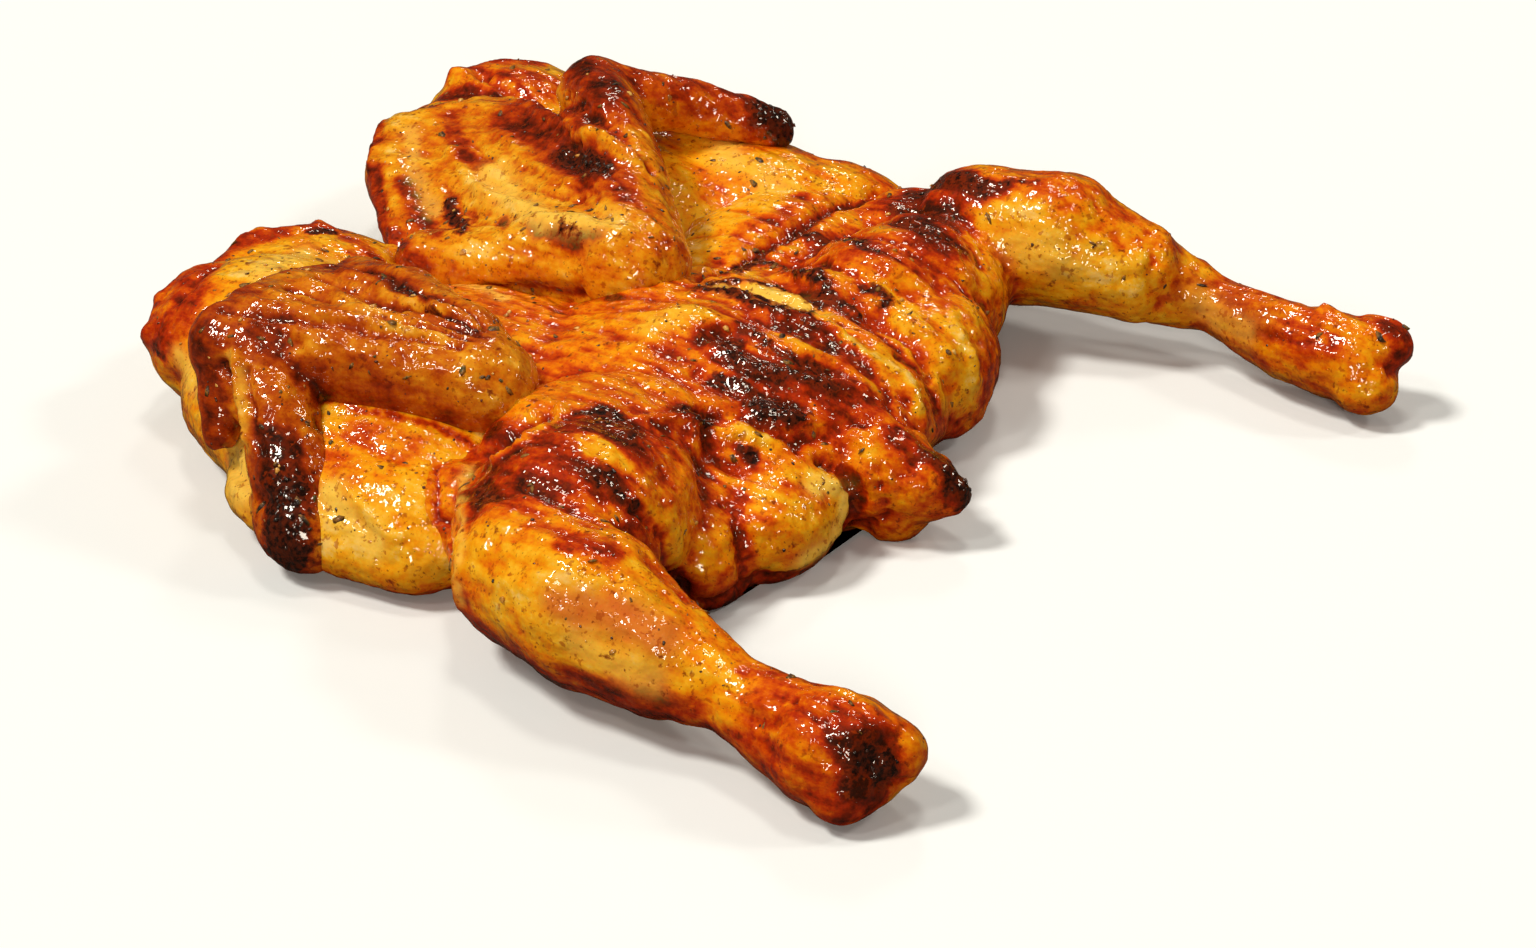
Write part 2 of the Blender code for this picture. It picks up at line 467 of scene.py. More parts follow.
# %% Swells
SWELLS = [
    ("left breast rim", 1.6, 4, (-66, 130, 26), (-56, 134, 30), (-48, 132, 34), (-28, 134, 30),
     (-8, 122, 32)),
    ("left breast face", 1.5, 12, (-95, 19, 25), (-92, 31, 27)),
    ("left breast foot", 3.4, 7, (-100, 66, 12), (-104, 46, 12), (-103, 30, 9), (-101, 12, 8)),
    ("left shoulder waist", -2.4, 6, (-78, 116, 16)),
    ("neck band", 1.0, 10, (-44, 37), (-28, 22)),
    ("rim bump 1", 1.8, 2.6, (-68, 130, 24), (-66, 132, 22)),
    ("rim bump 2", 1.4, 2.2, (-58, 135, 29)),
    ("rim bump 3", 1.5, 2.6, (-47, 135, 31)),
    ("rim bump 4", 1.8, 3.0, (-24, 134, 30), (-19, 132, 30)),
    ("rim bump 5", 1.5, 2.0, (-7, 124, 29)),
    ("far wing ridge", 2.4, 3, (84, 152), (76, 130), (60, 101), (44, 74), (38, 52)),
    ("far wrist", 2.4, 8, (64, 84), (56, 74)),
    ("far elbow", 1.5, 9, (9, 24, 42)),
    ("near elbow", 2.0, 8, (-63, 14, 40)),
    ("near forearm", 1.4, 6, (-82, 66, 48), (-74, 40, 46), (-66, 22, 44)),
    ("yellow bump", 3.4, 8, (-12, 5), (-5, 1)),
    ("orange bump", 2.0, 5, (-2, -20), (2, -30)),
    ("near thigh top", 2.0, 12, (-79, -17), (-75, -31)),
    ("hip pad", 1.0, 8, (-41, -57, 22)),
    ("far calf", 1.2, 12, (104, -22, 42), (108, -44, 42)),
    ("near calf", 1.5, 14, (-119, -43, 33), (-117, -59, 30)),
    ("far knob", 2.2, 1.8, (119, -111, 26)),
    ("far hump", 1.6, 4, (84, 152, 38), (96, 148, 38), (104, 138, 36)),
]
brush(SWELLS)
print(len(SWELLS), "swells")

# %% [markdown]
# Folds are narrower than swells, and many sink instead of rising. Those of the breasts and wings mark the
# rolled rims, the tendons of the hands, and the web of the far wing, which hangs loose in long folds.

# %% Folds of breasts and wings
BREAST_AND_WING_FOLDS = [
    ("wrist pit", -2.4, 3, (-85, 70), (-83, 61)),
    ("hand tendon", 1.4, 1.4, (-90, 74, 45), (-96, 68, 38), (-101, 62, 30)),
    ("hand gap", -4.0, 1.8, (-93, 77, 42), (-98, 71, 35), (-102, 66, 28)),
    ("hand groove", -1.2, 1.3, (-92, 68, 42), (-98, 61, 35), (-103, 55, 28)),
    ("breast and thigh crease", -2.2, 1.6, (-83, 18, 28), (-93, 8, 24), (-106, -5, 24), (-114, -13, 20)),
    ("breast and thigh ridge", 1.4, 1.8, (-81, 11, 29), (-103, -8, 32), (-115, -18, 28), (-115, -16, 18)),
    ("breast flap edge", -0.9, 1.8, (-102, 40, 22), (-103, 26, 19), (-103, 16, 13), (-97, 3, 10)),
    ("breast flap ridge", 1.4, 1.3, (-96, 36, 25), (-100, 27, 23), (-102, 20, 19), (-100, 14, 19)),
    ("breast top fold", -0.8, 1.8, (-88, 52, 33), (-88, 38, 32), (-86, 26, 29)),
    ("breast side crease", -1.8, 2, (-94, 86, 24), (-99, 70, 18), (-108, 50, 20)),
    ("rim fold", -1.4, 2.2, (-62, 122), (-48, 124), (-34, 124)),
    ("web edge", -2.0, 2.0, (-78, 96), (-60, 100), (-40, 101)),
    ("far wing trough", -3.0, 2.4, (84, 144), (79, 128), (72, 112)),
    ("far wing lump base", -2.2, 2.2, (62, 100), (50, 78), (44, 62), (40, 48)),
    ("far wing burn hollow", -1.0, 3.5, (42, 80), (26, 47)),
    ("far wing fine fold 1", 1.2, 1.6, (40, 118), (26, 96), (18, 72), (16, 52)),
    ("far wing fine fold 2", -1.0, 1.4, (44, 112), (32, 90), (24, 68), (21, 52)),
    ("far wing fine fold 3", 1.0, 1.6, (50, 108), (38, 88), (29, 66), (26, 50)),
    ("far wing fine fold 4", -1.0, 1.4, (28, 110), (14, 88), (8, 66)),
    ("far wing soft fold", 1.6, 3.5, (24, 92), (12, 62), (8, 36)),
    ("far wing soft valley", -0.9, 2.6, (32, 100), (20, 70), (14, 44)),
    ("far wing low valley", -0.8, 2.4, (8, 84), (2, 62), (2, 42)),
    ("far wing under", -3.2, 2.4, (0, 76, 26), (0, 60, 28), (-1, 45, 30), (0, 33, 30), (4, 24, 29),
     (10, 18, 30), (16, 15, 31)),
    ("dark edge roll", 1.6, 1.8, (54, 152, 35), (34, 142, 33), (14, 122, 30), (2, 105, 28)),
    ("dark edge under", -2.0, 1.8, (52, 154, 28), (32, 144, 26), (12, 124, 23), (0, 107, 21)),
]
print(len(BREAST_AND_WING_FOLDS), "folds on breasts and wings")

# %% [markdown]
# The heat drew the back together, so its skin stands in ridges that run towards the tail. Behind them,
# creases part the thighs from the hips and the tail, and the feet end in split knuckles.

# %% Folds of back and legs
BACK_AND_LEG_FOLDS = [
    ("breast and back crease", -3.0, 2.2, (20, 18), (44, 21), (57, 19), (70, 18), (88, 19), (102, 17)),
    ("back ridge 1", 2.0, 2.6, (43, 22), (44, 12), (38, -2), (33, -14), (31, -24)),
    ("back valley 1", -2.0, 2.2, (21, 6), (20, -6), (24, -18)),
    ("back ridge 2", 1.9, 2.4, (10, 10), (12, 2), (9, -10), (12, -19), (15, -29)),
    ("back valley 2", -2.0, 2.0, (-6, -8), (-4, -20), (-2, -30), (2, -39)),
    ("back ridge 3", 2.0, 2.6, (-12, -12), (-12, -24), (-7, -35), (0, -46)),
    ("back valley 3", -1.7, 2.2, (-23, -14), (-22, -28), (-14, -39)),
    ("back ridge 4", 1.7, 3.0, (-24, -33), (-20, -39), (-16, -45)),
    ("back valley 4", -1.6, 2.2, (-21, -44), (-9, -50), (-3, -60)),
    ("back valley 5", -1.6, 2.0, (35, 8), (30, -6), (26, -16)),
    ("back valley 6", -1.6, 2.0, (50, 10), (44, -8), (40, -20)),
    ("flank ridge 1", 1.2, 2.2, (65, 11), (52, -8), (51, -20), (52, -32)),
    ("flank valley 1", -1.3, 2.2, (63, 0), (58, -16), (61, -30)),
    ("flank ridge 2", 1.2, 2.2, (39, -26, 36), (36, -40, 34), (35, -50, 26)),
    ("flank valley 2", -1.4, 2.0, (34, -20, 37), (32, -34, 33), (26, -50, 27)),
    ("flank ridge 3", 1.6, 1.8, (16, -27, 37), (15, -38, 36), (18, -48, 31), (14, -56, 26)),
    ("flank valley 3", -1.7, 2.0, (8, -31, 37), (8, -42, 35), (8, -50, 31), (3, -58, 28)),
    ("flank ridge 4", 1.2, 2.0, (44, -30, 36), (46, -42, 32), (42, -52, 22)),
    ("flank valley 4", -1.2, 1.8, (28, -28, 36), (24, -42, 32), (22, -54, 22)),
    ("flank ridge 5", 1.2, 2.2, (78, -6), (72, -22), (66, -34)),
    ("flank valley 5", -1.3, 2.0, (88, -2), (82, -20), (76, -32)),
    ("thigh crease right", -1.0, 2.5, (102, 3), (92, -14), (84, -29)),
    ("flap bottom", 1.2, 2.5, (8, -62, 25), (40, -49, 5), (46, -52, 8)),
    ("elbow thigh shadow", -3.0, 3.0, (-68, -2, 39), (-74, 1, 37), (-77, 7, 34)),
    ("elbow thigh ridge", 2.4, 1.8, (-62, -4), (-71, -7), (-81, -7), (-86, -3)),
    ("thigh flap", 1.8, 2.2, (-51, -19), (-40, -25), (-31, -32), (-28, -41)),
    ("thigh flap under", -1.8, 2.0, (-34, -23), (-27, -32), (-24, -43)),
    ("calf hip crease", -2.6, 2.2, (-81, -40, 35), (-78, -45, 29), (-76, -46, 20), (-66, -44, 9)),
    ("hip crease", -1.8, 2.2, (-49, -43, 24), (-51, -47, 21), (-55, -50, 15), (-55, -51, 7)),
    ("hip tail crease", -2.8, 2.2, (-21, -50, 25), (-16, -55, 19), (-17, -57, 13), (-21, -56, 6)),
    ("hip rim", 1.3, 1.4, (-27, -54, 24), (-21, -57, 18), (-26, -59, 12), (-42, -60, 9)),
    ("hip under", -1.6, 2.0, (-65, -44, 7), (-55, -51, 7), (-42, -56, 5)),
    ("hip dent", -0.8, 3.0, (-44, -52, 27), (-36, -58, 20)),
    ("tail fold", -1.6, 1.6, (-8, -59, 19), (-7, -60, 11), (-5, -55, 2)),
    ("foot hole", -2.8, 3.6, (-115, -130, 19)),
    ("foot collar", 1.2, 2.0, (-117, -123, 24), (-111, -126, 26), (-106, -129, 23)),
    ("foot split", -1.8, 1.8, (-115, -132, 13), (-108, -134, 11)),
    ("foot groove", -0.8, 1.6, (-114, -109, 26), (-117, -120, 24), (-120, -126, 18)),
    ("foot low groove", -0.7, 1.6, (-119, -108, 18), (-122, -118, 16)),
    ("shank groove", -0.6, 2.0, (-113, -94, 24), (-115, -106, 25)),
    ("far calf step", -1.2, 2.0, (112, -61, 37), (107, -65, 32), (106, -67, 25), (108, -68, 19)),
    ("far foot notch", -1.0, 2.2, (121, -133, 16), (116, -133, 17)),
    ("far shank groove", -0.6, 2.0, (113, -89, 20), (111, -106, 19), (111, -117, 20)),
    ("far shank edge", 0.6, 2.0, (116, -92, 25), (118, -106, 25), (122, -120, 26)),
]
print(len(BACK_AND_LEG_FOLDS), "folds on back and legs")

# %% [markdown]
# The skin between the bones of the near wing is pleated like a fan that opens from the elbow, so a loop
# makes those. Then all folds are brushed on at once, shaken a little out of their straight course.

# %% Pleats
FOLD_WOBBLE = 1.4  # mm
ELBOW_X = -56
PLEAT_SINK, PLEAT_RISE, PLEAT_WIDTH = -2.0, 1.4, 1.7

pleats = []
for number, reach in enumerate(range(-36, -86, -6)):
    middle = (0.6 * reach + 0.4 * ELBOW_X - 2, 54)
    gathered = (0.25 * reach + 0.75 * ELBOW_X, 26)
    rise = PLEAT_RISE if number % 2 else PLEAT_SINK
    pleats.append(("near wing pleat", rise, PLEAT_WIDTH, (reach, 84), middle, gathered))

brush(BREAST_AND_WING_FOLDS + BACK_AND_LEG_FOLDS + pleats, FOLD_WOBBLE)
print(len(pleats), "pleats")

# %% [markdown]
# Between the strokes the skin is never even. A broad noise makes soft dents, a long one draws them out along
# the body, and a fine one is the first roughness of the skin. The back is ribbed from neck to tail, only
# where it faces up, and the far wing has long thin wrinkles. Each noise has a height in mm, a grain size in
# mm and a layer of its own.

# %% Unevenness
EVERYWHERE = ((0.7, 16, 1), (0.4, (5, 12, 5), 5))
ROUGHEST = (0.18, 2.6, 9)
BACK_RIBS = ((1.0, (7, 26, 8), 7), (0.6, (3.5, 13, 4), 8))
WING_WRINKLES = ((0.8, (4, 15, 5), 7),)


def dents(spots, waves):
    """The summed height of several noises."""
    return sum(height * rough(spots, size, layer) for height, size, layer in waves)


for skin in skins.values():
    spots, out = read(skin)
    height, size, layer = ROUGHEST
    relief = dents(spots, EVERYWHERE) + height * grain(spots, size, layer)
    if skin is back:
        relief += np.clip(1.4 * out[:, 2], 0, 1) * dents(spots, BACK_RIBS)
    elif skin is right_wing:
        relief += dents(spots, WING_WRINKLES)
    write(skin, spots + out * relief[:, None])
    print(skin.name, "dents of", relief.min().round(1), "to", relief.max().round(1), "mm")

# %% [markdown]
# ## Roasting
# Roast skin has no single colour. It goes from pale fat through yellow, gold, orange and red to brown, and
# where the bars of the grill touched it is black. One number per vertex, "roast", holds how far the skin has
# come, and the material turns it into a colour. Further numbers mark where the hue leaves that road: "tan"
# for the dry leathery wings, "pale" for bare fat, "pink" for thin skin over meat, and "char" for the burns.
# They could be painted as an image, but numbers on the vertices need no unwrapping and follow every fold.
# A stroke is a name, the number to reach, a width in mm, and places from the mark on the spine.

# %% Layers of paint
LAYERS = ("roast", "tan", "pale", "pink", "char")


def count_strokes(area):
    """How many strokes an area's layers hold together."""
    return sum(len(strokes) for strokes in area.values())


print("layers:", ", ".join(LAYERS))

# %% [markdown]
# The near breast is golden, because its skin is stretched thin over fat. Its rim at the neck caught the fire
# and went red, with two burnt spots, and where the skin ends the pale flesh of the cut shows.

# %% Roast of the near breast
NEAR_BREAST = {
    "roast": [
        ("rim", 0.72, 4.4, (-68, 129, 25), (-57, 134, 29), (-47, 133, 32), (-28, 134, 30), (-6, 121, 31)),
        ("red shoulder", 0.72, 8, (-68, 118), (-60, 121), (-50, 125)),
        ("gold top", 0.2, 6, (-48, 112), (-32, 110)),
        ("band red", 0.72, 2.0, (-8, 112), (-10, 100), (-12, 90)),
        ("knob", 0.84, 2.4, (-71, 125, 26), (-73, 118, 26)),
        ("orange patch", 0.52, 6, (-84, 40, 30), (-86, 28, 30)),
        ("orange drip", 0.54, 1.8, (-94, 42, 27), (-97, 34, 25), (-93, 24, 28)),
        ("side gold", 0.24, 9, (-95, 19, 25), (-99, 10, 19)),
        ("bottom edge", 0.6, 2.0, (-108, 50, 5), (-108, 34, 4), (-103, 15, 4), (-97, 4, 3)),
        # painted shade: the crease under the forearm is painted dark red-brown
        ("shade under forearm", 0.74, 1.2, (-84, 60, 35), (-80, 46, 35), (-74, 27, 33), (-74, 2, 37)),
        ("breast by thigh", 0.42, 1.4, (-83, 17, 28), (-94, 6, 23), (-113, -12, 22)),
    ],
    "pale": [
        ("fat under skin", 0.9, 3.6, (-46, 108), (-36, 107), (-26, 112)),
        ("fat at wing", 0.7, 2.4, (-42, 106), (-54, 104), (-68, 98)),
        ("band", 0.7, 2.4, (-22, 104), (-20, 94), (-18, 84)),
        ("side fat", 0.7, 2.6, (-75, 113, 25), (-88, 93, 26), (-95, 80, 23)),
        ("cut flesh", 1.0, 5, (-97, 74, 20), (-103, 63, 20)),
        ("cut flesh low", 1.0, 3.4, (-102, 36, 23), (-104, 28, 18), (-104, 20, 16)),
    ],
    "char": [
        ("spot on rim", 0.95, 2.0, (-14, 120, 34), (-9, 117, 34)),
        ("knob burn", 0.6, 1.2, (-72, 125, 24), (-74, 119, 23)),
    ],
}
print("roast of the near breast:", count_strokes(NEAR_BREAST), "strokes")

# %% [markdown]
# Wings have little fat, so their skin dries to leather: brown at the wrist and on the pleats' edges, black at
# the tip, where it hung over the fire.

# %% Roast of the near wing
NEAR_WING = {
    "roast": [
        ("leading edge", 0.7, 4, (-92, 84), (-82, 90), (-66, 94)),
        ("web edge", 0.72, 2.4, (-60, 97), (-44, 97), (-32, 94)),
        ("glossy ridge", 0.78, 3, (-38, 92), (-42, 72), (-48, 50)),
        ("pleat shine", 0.24, 2.2, (-62, 82), (-62, 64), (-66, 44), (-65, 32)),
        ("pleat shine 2", 0.28, 1.8, (-50, 80), (-50, 60), (-52, 42)),
        ("wrist burn", 0.95, 4.2, (-85, 71), (-83, 61)),
        ("forearm underside", 0.7, 4.5, (-84, 60, 38), (-80, 48, 36), (-74, 31, 35), (-69, 16, 35)),
        ("elbow", 0.42, 8, (-66, 19, 46), (-63, 12, 41)),
        ("forearm top", 0.5, 5, (-82, 61), (-78, 46), (-71, 29)),
        ("thumb", 0.84, 4, (-89, 86, 45), (-94, 82, 38), (-99, 76, 28), (-98, 76, 22)),
        ("hand", 0.58, 6, (-92, 60, 41), (-97, 54, 34), (-102, 50, 28)),
        ("tendon", 0.3, 1.8, (-90, 74, 45), (-96, 68, 38), (-101, 62, 30)),
        ("hand tip halo", 0.95, 6, (-101, 52, 31), (-104, 48, 26)),
    ],
    "pale": [
        ("tendon", 0.3, 1.2, (-90, 74, 45), (-96, 68, 38), (-101, 62, 30)),
    ],
    "char": [
        ("burnt line", 0.66, 1.2, (-52, 48), (-54, 36), (-57, 24)),
        ("burnt line low", 0.6, 1.2, (-44, 62), (-50, 44)),
        ("hand tip", 1.0, 6, (-105, 46, 21), (-107, 43, 16), (-108, 41, 10)),
    ],
}
print("roast of the near wing:", count_strokes(NEAR_WING), "strokes")

# %% [markdown]
# The far breast is gold with orange spots, red on the hump at its neck end, and pale where it was cut.
# It needs strokes of its own, because a mirrored near breast would give the same spots twice.

# %% Roast of the far breast
FAR_BREAST = {
    "roast": [
        ("left side", 0.5, 6, (65, 154, 31), (48, 149, 30), (39, 146, 22)),
        ("left rim", 0.7, 3, (44, 150, 20), (28, 138, 18), (16, 126, 16)),
        ("hump", 0.8, 4.0, (84, 153, 38), (94, 150, 40), (103, 140, 38)),
        ("hump orange", 0.58, 6, (88, 138), (90, 124)),
        ("crust", 0.86, 3.6, (72, 154, 36), (74, 144, 40), (72, 128, 42), (68, 116, 42)),
        ("hump trough", 0.44, 3, (83, 142), (78, 126)),
        ("hump streak", 0.82, 1.5, (88, 150), (86, 136), (80, 122)),
        ("right side", 0.24, 10, (85, 59, 37), (73, 37, 35), (52, 34, 33)),
        ("spot field", 0.42, 6, (77, 56, 35), (73, 44, 34)),
        ("spot 2", 0.52, 3.5, (92, 57, 38), (102, 52, 37)),
        ("edge", 0.56, 4.5, (106, 45, 34), (110, 31, 30), (104, 18, 28)),
        ("by crease", 0.54, 3.0, (24, 20), (55, 25), (70, 23)),
    ],
    "pale": [
        ("neck flesh", 0.8, 3.0, (9, 116, 17), (-6, 97, 20), (-12, 88, 24)),
        ("by hand", 0.8, 4, (96, 64, 34), (86, 56, 36)),
        ("glow", 0.45, 4, (86, 45, 36), (77, 29, 35)),
    ],
}
print("roast of the far breast:", count_strokes(FAR_BREAST), "strokes")

# %% [markdown]
# The far wing has a brown free edge, a pale field of thin skin in its middle, and three marks of the grill.

# %% Roast of the far wing
FAR_WING = {
    "roast": [
        ("dark edge", 0.84, 3.4, (66, 142, 42), (54, 152, 35), (34, 142, 33), (14, 122, 30), (2, 105, 28),
         (-3, 90, 29)),
        ("ridge start", 0.88, 2.4, (82, 152), (80, 142), (75, 128)),
        ("wrist lump", 0.72, 9, (72, 96), (62, 84), (52, 70)),
        ("wrist top", 0.95, 5, (74, 97), (66, 86), (58, 76)),
        ("forearm rim", 0.66, 3.2, (60, 62, 52), (50, 48, 51), (34, 32, 50), (20, 22, 46)),
        ("ridge", 0.8, 2.4, (66, 112), (58, 98), (48, 76), (42, 60)),
        ("hand", 0.72, 10, (80, 86), (90, 74), (100, 60)),
        ("red field", 0.78, 5.5, (58, 112), (48, 90)),
        ("spot halo", 0.8, 5.5, (44, 84), (30, 57), (24, 42)),
        ("orange field", 0.42, 6, (44, 66), (38, 44), (24, 30)),
        ("elbow", 0.42, 9, (8, 26), (12, 20)),
        ("pale field", 0.16, 6, (34, 104), (10, 60), (10, 40)),
        ("upper brown", 0.7, 3, (56, 132), (44, 118), (36, 104)),
        ("edge brown", 0.8, 3, (26, 122), (14, 106), (4, 92)),
        ("spot small", 0.8, 1.6, (14, 78), (6, 70)),
        ("low brown", 0.8, 2.0, (8, 64), (4, 50), (6, 40)),
        ("lower band", 0.5, 3, (-2, 80, 32), (-2, 64, 34)),
    ],
    "pale": [
        ("edge fat", 0.5, 2.2, (46, 138), (32, 124), (18, 104)),
        ("pale field", 0.75, 4.5, (32, 98), (10, 60), (10, 42)),
    ],
    "char": [
        ("hand end", 1.0, 4.5, (102, 56, 44), (104, 52, 40)),
        ("grill spot", 0.85, 2.4, (41, 78), (35, 67), (30, 56)),
        ("spot left", 0.8, 1.6, (22, 102), (14, 92), (4, 84)),
        ("low brown spot", 0.5, 1.4, (7, 54), (6, 46)),
    ],
}
print("roast of the far wing:", count_strokes(FAR_WING), "strokes")

# %% [markdown]
# The back lay flat on the grill. Its ridges are striped with char, with brown beside every stripe, and
# between two of them the skin has come away and shows white fat.

# %% Roast of the back
BACK_AND_NECK = {
    "roast": [
        ("neck gold", 0.5, 9, (-19, 62), (-21, 37), (-27, 16)),
        ("wing shadow", 0.84, 1.6, (0, 60, 28), (-1, 45, 30), (0, 33, 30), (4, 24, 29), (10, 18, 30)),
        ("by crease gold", 0.24, 9, (40, 38), (60, 40), (84, 38), (100, 32)),
        ("by crease spots", 0.62, 2.6, (56, 30), (70, 27), (84, 30)),
        ("yellow bump", 0.3, 7, (-12, 5), (-5, 1)),
        ("middle", 0.5, 12, (-49, -5), (-21, -8)),
        ("streak 2 brown", 0.85, 2.6, (64, 13), (61, 1), (52, -14), (54, -24)),
        ("streak 3 end", 0.9, 2.4, (11, -14), (13, -22), (12, -32), (9, -42)),
        ("streak 4 brown", 0.84, 2.6, (73, -6), (72, -18), (74, -30)),
        ("streak 5 brown", 0.94, 4.5, (101, 3), (100, -8), (96, -24)),
        ("streak 6 brown", 0.9, 4.0, (-10, -8), (-12, -22), (-7, -36), (-4, -46)),
        ("back red", 0.8, 8, (-8, -17), (-10, -36), (-3, -48)),
        ("back red 2", 0.62, 7, (53, 12), (44, -17), (62, -23)),
        ("back gold", 0.36, 4, (34, 12), (33, -2), (40, -12)),
        ("thigh red", 0.84, 8, (92, 2), (88, -16)),
        ("thigh dark", 0.92, 5, (76, -12), (69, -26)),
        ("peeled", 0.1, 4, (20, 3), (23, -17)),
        ("brown lumps", 0.88, 3.6, (7, -19), (11, -27), (10, -37)),
        ("orange bump", 0.44, 4, (-3, -19), (2, -30)),
        ("flank", 0.36, 9, (39, -26, 36), (34, -45, 30), (34, -52, 18)),
        ("flank shine", 0.16, 2.2, (16, -27, 37), (15, -38, 36), (18, -48, 31), (12, -58, 25)),
        ("flank shine 2", 0.2, 2.0, (42, -32, 35), (44, -44, 30), (40, -54, 18)),
        ("flank brown", 0.85, 2.0, (28, -28, 36), (24, -42, 32), (22, -54, 20)),
        ("flank edge", 0.7, 3, (70, -38, 27), (48, -53, 21), (44, -52, 7)),
        ("flap bottom", 0.7, 3, (8, -62, 24), (41, -49, 4)),
    ],
    "pale": [
        ("neck fat", 0.7, 2, (-2, 90), (-6, 70), (-12, 56)),
        ("yellow bump", 0.2, 4, (-14, 6), (-8, 3)),
        ("peeled", 1.0, 4.6, (18, 5), (21, -4), (22, -12)),
    ],
    "char": [
        ("wing shadow burn", 0.6, 1.2, (-1, 40, 30), (1, 30, 30), (7, 21, 29)),
        ("crease burn", 0.5, 1.6, (40, 22), (57, 19), (68, 18), (88, 19), (102, 17)),
        ("streak 1", 0.95, 2.4, (29, 15), (40, 18), (45, 10), (35, -9)),
        ("streak 1 end", 0.75, 2.2, (35, -9), (32, -16), (31, -26)),
        ("streak 2", 0.66, 1.8, (64, 15), (63, 3), (52, -12), (53, -20)),
        ("streak 3", 0.85, 2.0, (11, 12), (14, 3), (11, -6), (11, -14)),
        ("streak 4", 0.55, 2.0, (73, -8), (72, -18), (74, -28)),
        ("streak 5", 0.62, 3.0, (101, 3), (100, -8), (97, -20)),
        ("streak 5 low", 0.5, 2.0, (90, 4), (88, -8), (84, -18)),
        ("streak 6", 0.68, 2.4, (-11, -12), (-13, -22), (-8, -34), (-6, -42)),
        ("streak 7", 0.55, 1.8, (-2, -10), (-4, -24), (0, -36)),
        ("streak 8", 0.5, 1.8, (28, 0), (30, -14), (28, -26)),
        ("blob 1", 0.8, 2.2, (-21, -19), (-20, -27)),
        ("blob 2", 1.0, 3.6, (-22, -34), (-19, -41)),
        ("mark", 0.7, 2.0, (40, -20), (40, -28)),
        ("peeled edge", 0.85, 1.4, (14, 8), (16, -4), (18, -18)),
        ("peeled top edge", 0.85, 1.6, (17, 12), (25, 8), (28, -4), (27, -16)),
    ],
}
print("roast of the back:", count_strokes(BACK_AND_NECK), "strokes")

# %% [markdown]
# The near thigh stands highest and is the reddest part, with a ring and a few blots of char.

# %% Roast of the near thigh
NEAR_THIGH = {
    "roast": [
        ("deep shadow", 0.92, 4, (-70, 10, 34), (-79, -4, 40)),
        ("breast by thigh", 0.56, 2.2, (-83, 17, 28), (-94, 6, 23), (-113, -12, 22)),
        ("red field", 0.84, 11, (-85, -3), (-75, -14), (-68, -26)),
        ("red field 2", 0.7, 6, (-58, -24), (-42, -26)),
        ("red field 3", 0.8, 8, (-98, -18), (-88, -28)),
        ("ring gold", 0.3, 1.6, (-76, -20), (-72, -28)),
        ("patch brown", 0.86, 5, (-95, -5), (-100, -16)),
        ("yellow streak", 0.24, 2.2, (-78, -24), (-73, -32)),
        ("yellow flap", 0.24, 2.8, (-32, -29), (-29, -39)),
        ("thin ridge", 0.46, 1.6, (-62, -4), (-71, -7), (-81, -7), (-86, -3)),
        ("field fade", 0.56, 7, (-47, -31), (-46, -38), (-58, -41)),
    ],
    "char": [
        ("ring", 0.75, 2.0, (-61, -10), (-56, -12), (-56, -18), (-60, -24), (-67, -27), (-70, -20)),
        ("ring fill", 0.7, 3.4, (-64, -17)),
        ("spot a", 1.0, 2.4, (-37, -22), (-34, -26)),
        ("spot b", 0.9, 1.6, (-34, -36), (-34, -39)),
        ("spot c", 0.9, 1.5, (-79, -39)),
        ("blob 3", 0.75, 2.8, (-83, -30), (-81, -36)),
        ("patch", 0.62, 2.8, (-96, -6), (-100, -12)),
        ("patch 2", 0.3, 2.4, (-92, -16), (-96, -26)),
    ],
}
print("roast of the near thigh:", count_strokes(NEAR_THIGH), "strokes")

# %% [markdown]
# The pads beside the tail are fat and stay gold with a pale rim. The tail is thin and ends in a black tip.

# %% Roast of the hips and tail
HIPS_AND_TAIL = {
    "roast": [
        ("hip pad", 0.38, 10, (-44, -53, 25), (-40, -59, 18)),
        ("hip brown", 0.6, 2.2, (-50, -50, 25), (-46, -57, 18)),
        ("hip brown 2", 0.66, 2.0, (-36, -52, 27), (-32, -58, 20)),
        ("hip rim", 0.15, 3.2, (-30, -55, 25), (-20, -56, 18), (-25, -59, 12)),
        ("hip crease", 0.7, 1.8, (-47, -44, 24), (-53, -49, 17)),
        ("hip roll", 0.4, 5, (-72, -46, 24), (-64, -48, 18)),
        ("hip roll low", 0.7, 3.5, (-69, -45, 12), (-60, -50, 8)),
        ("hip tail crease", 0.9, 2.0, (-15, -56, 18), (-14, -57, 10), (-18, -56, 6)),
        ("under edge", 0.92, 2.4, (-62, -46, 3), (-47, -54, 4), (-36, -60, 4)),
        ("tail", 0.56, 7, (-10, -60, 12), (-4, -68, 8)),
        ("tail top", 0.8, 5, (-4, -62, 26), (-2, -72, 20)),
    ],
    "pale": [
        ("hip rim", 0.9, 2.6, (-30, -56, 25), (-21, -57, 19), (-25, -60, 12), (-40, -60, 9)),
    ],
    "char": [
        ("tail burn", 0.5, 2.8, (-3, -68, 24), (-2, -74, 19)),
        ("tail tip", 1.0, 4.5, (-1, -75, 16), (1, -78, 14)),
    ],
}
print("roast of the hips and tail:", count_strokes(HIPS_AND_TAIL), "strokes")

# %% [markdown]
# A drumstick is gold on its calf, pink where the skin is thin over meat, red below, and burnt at the foot.

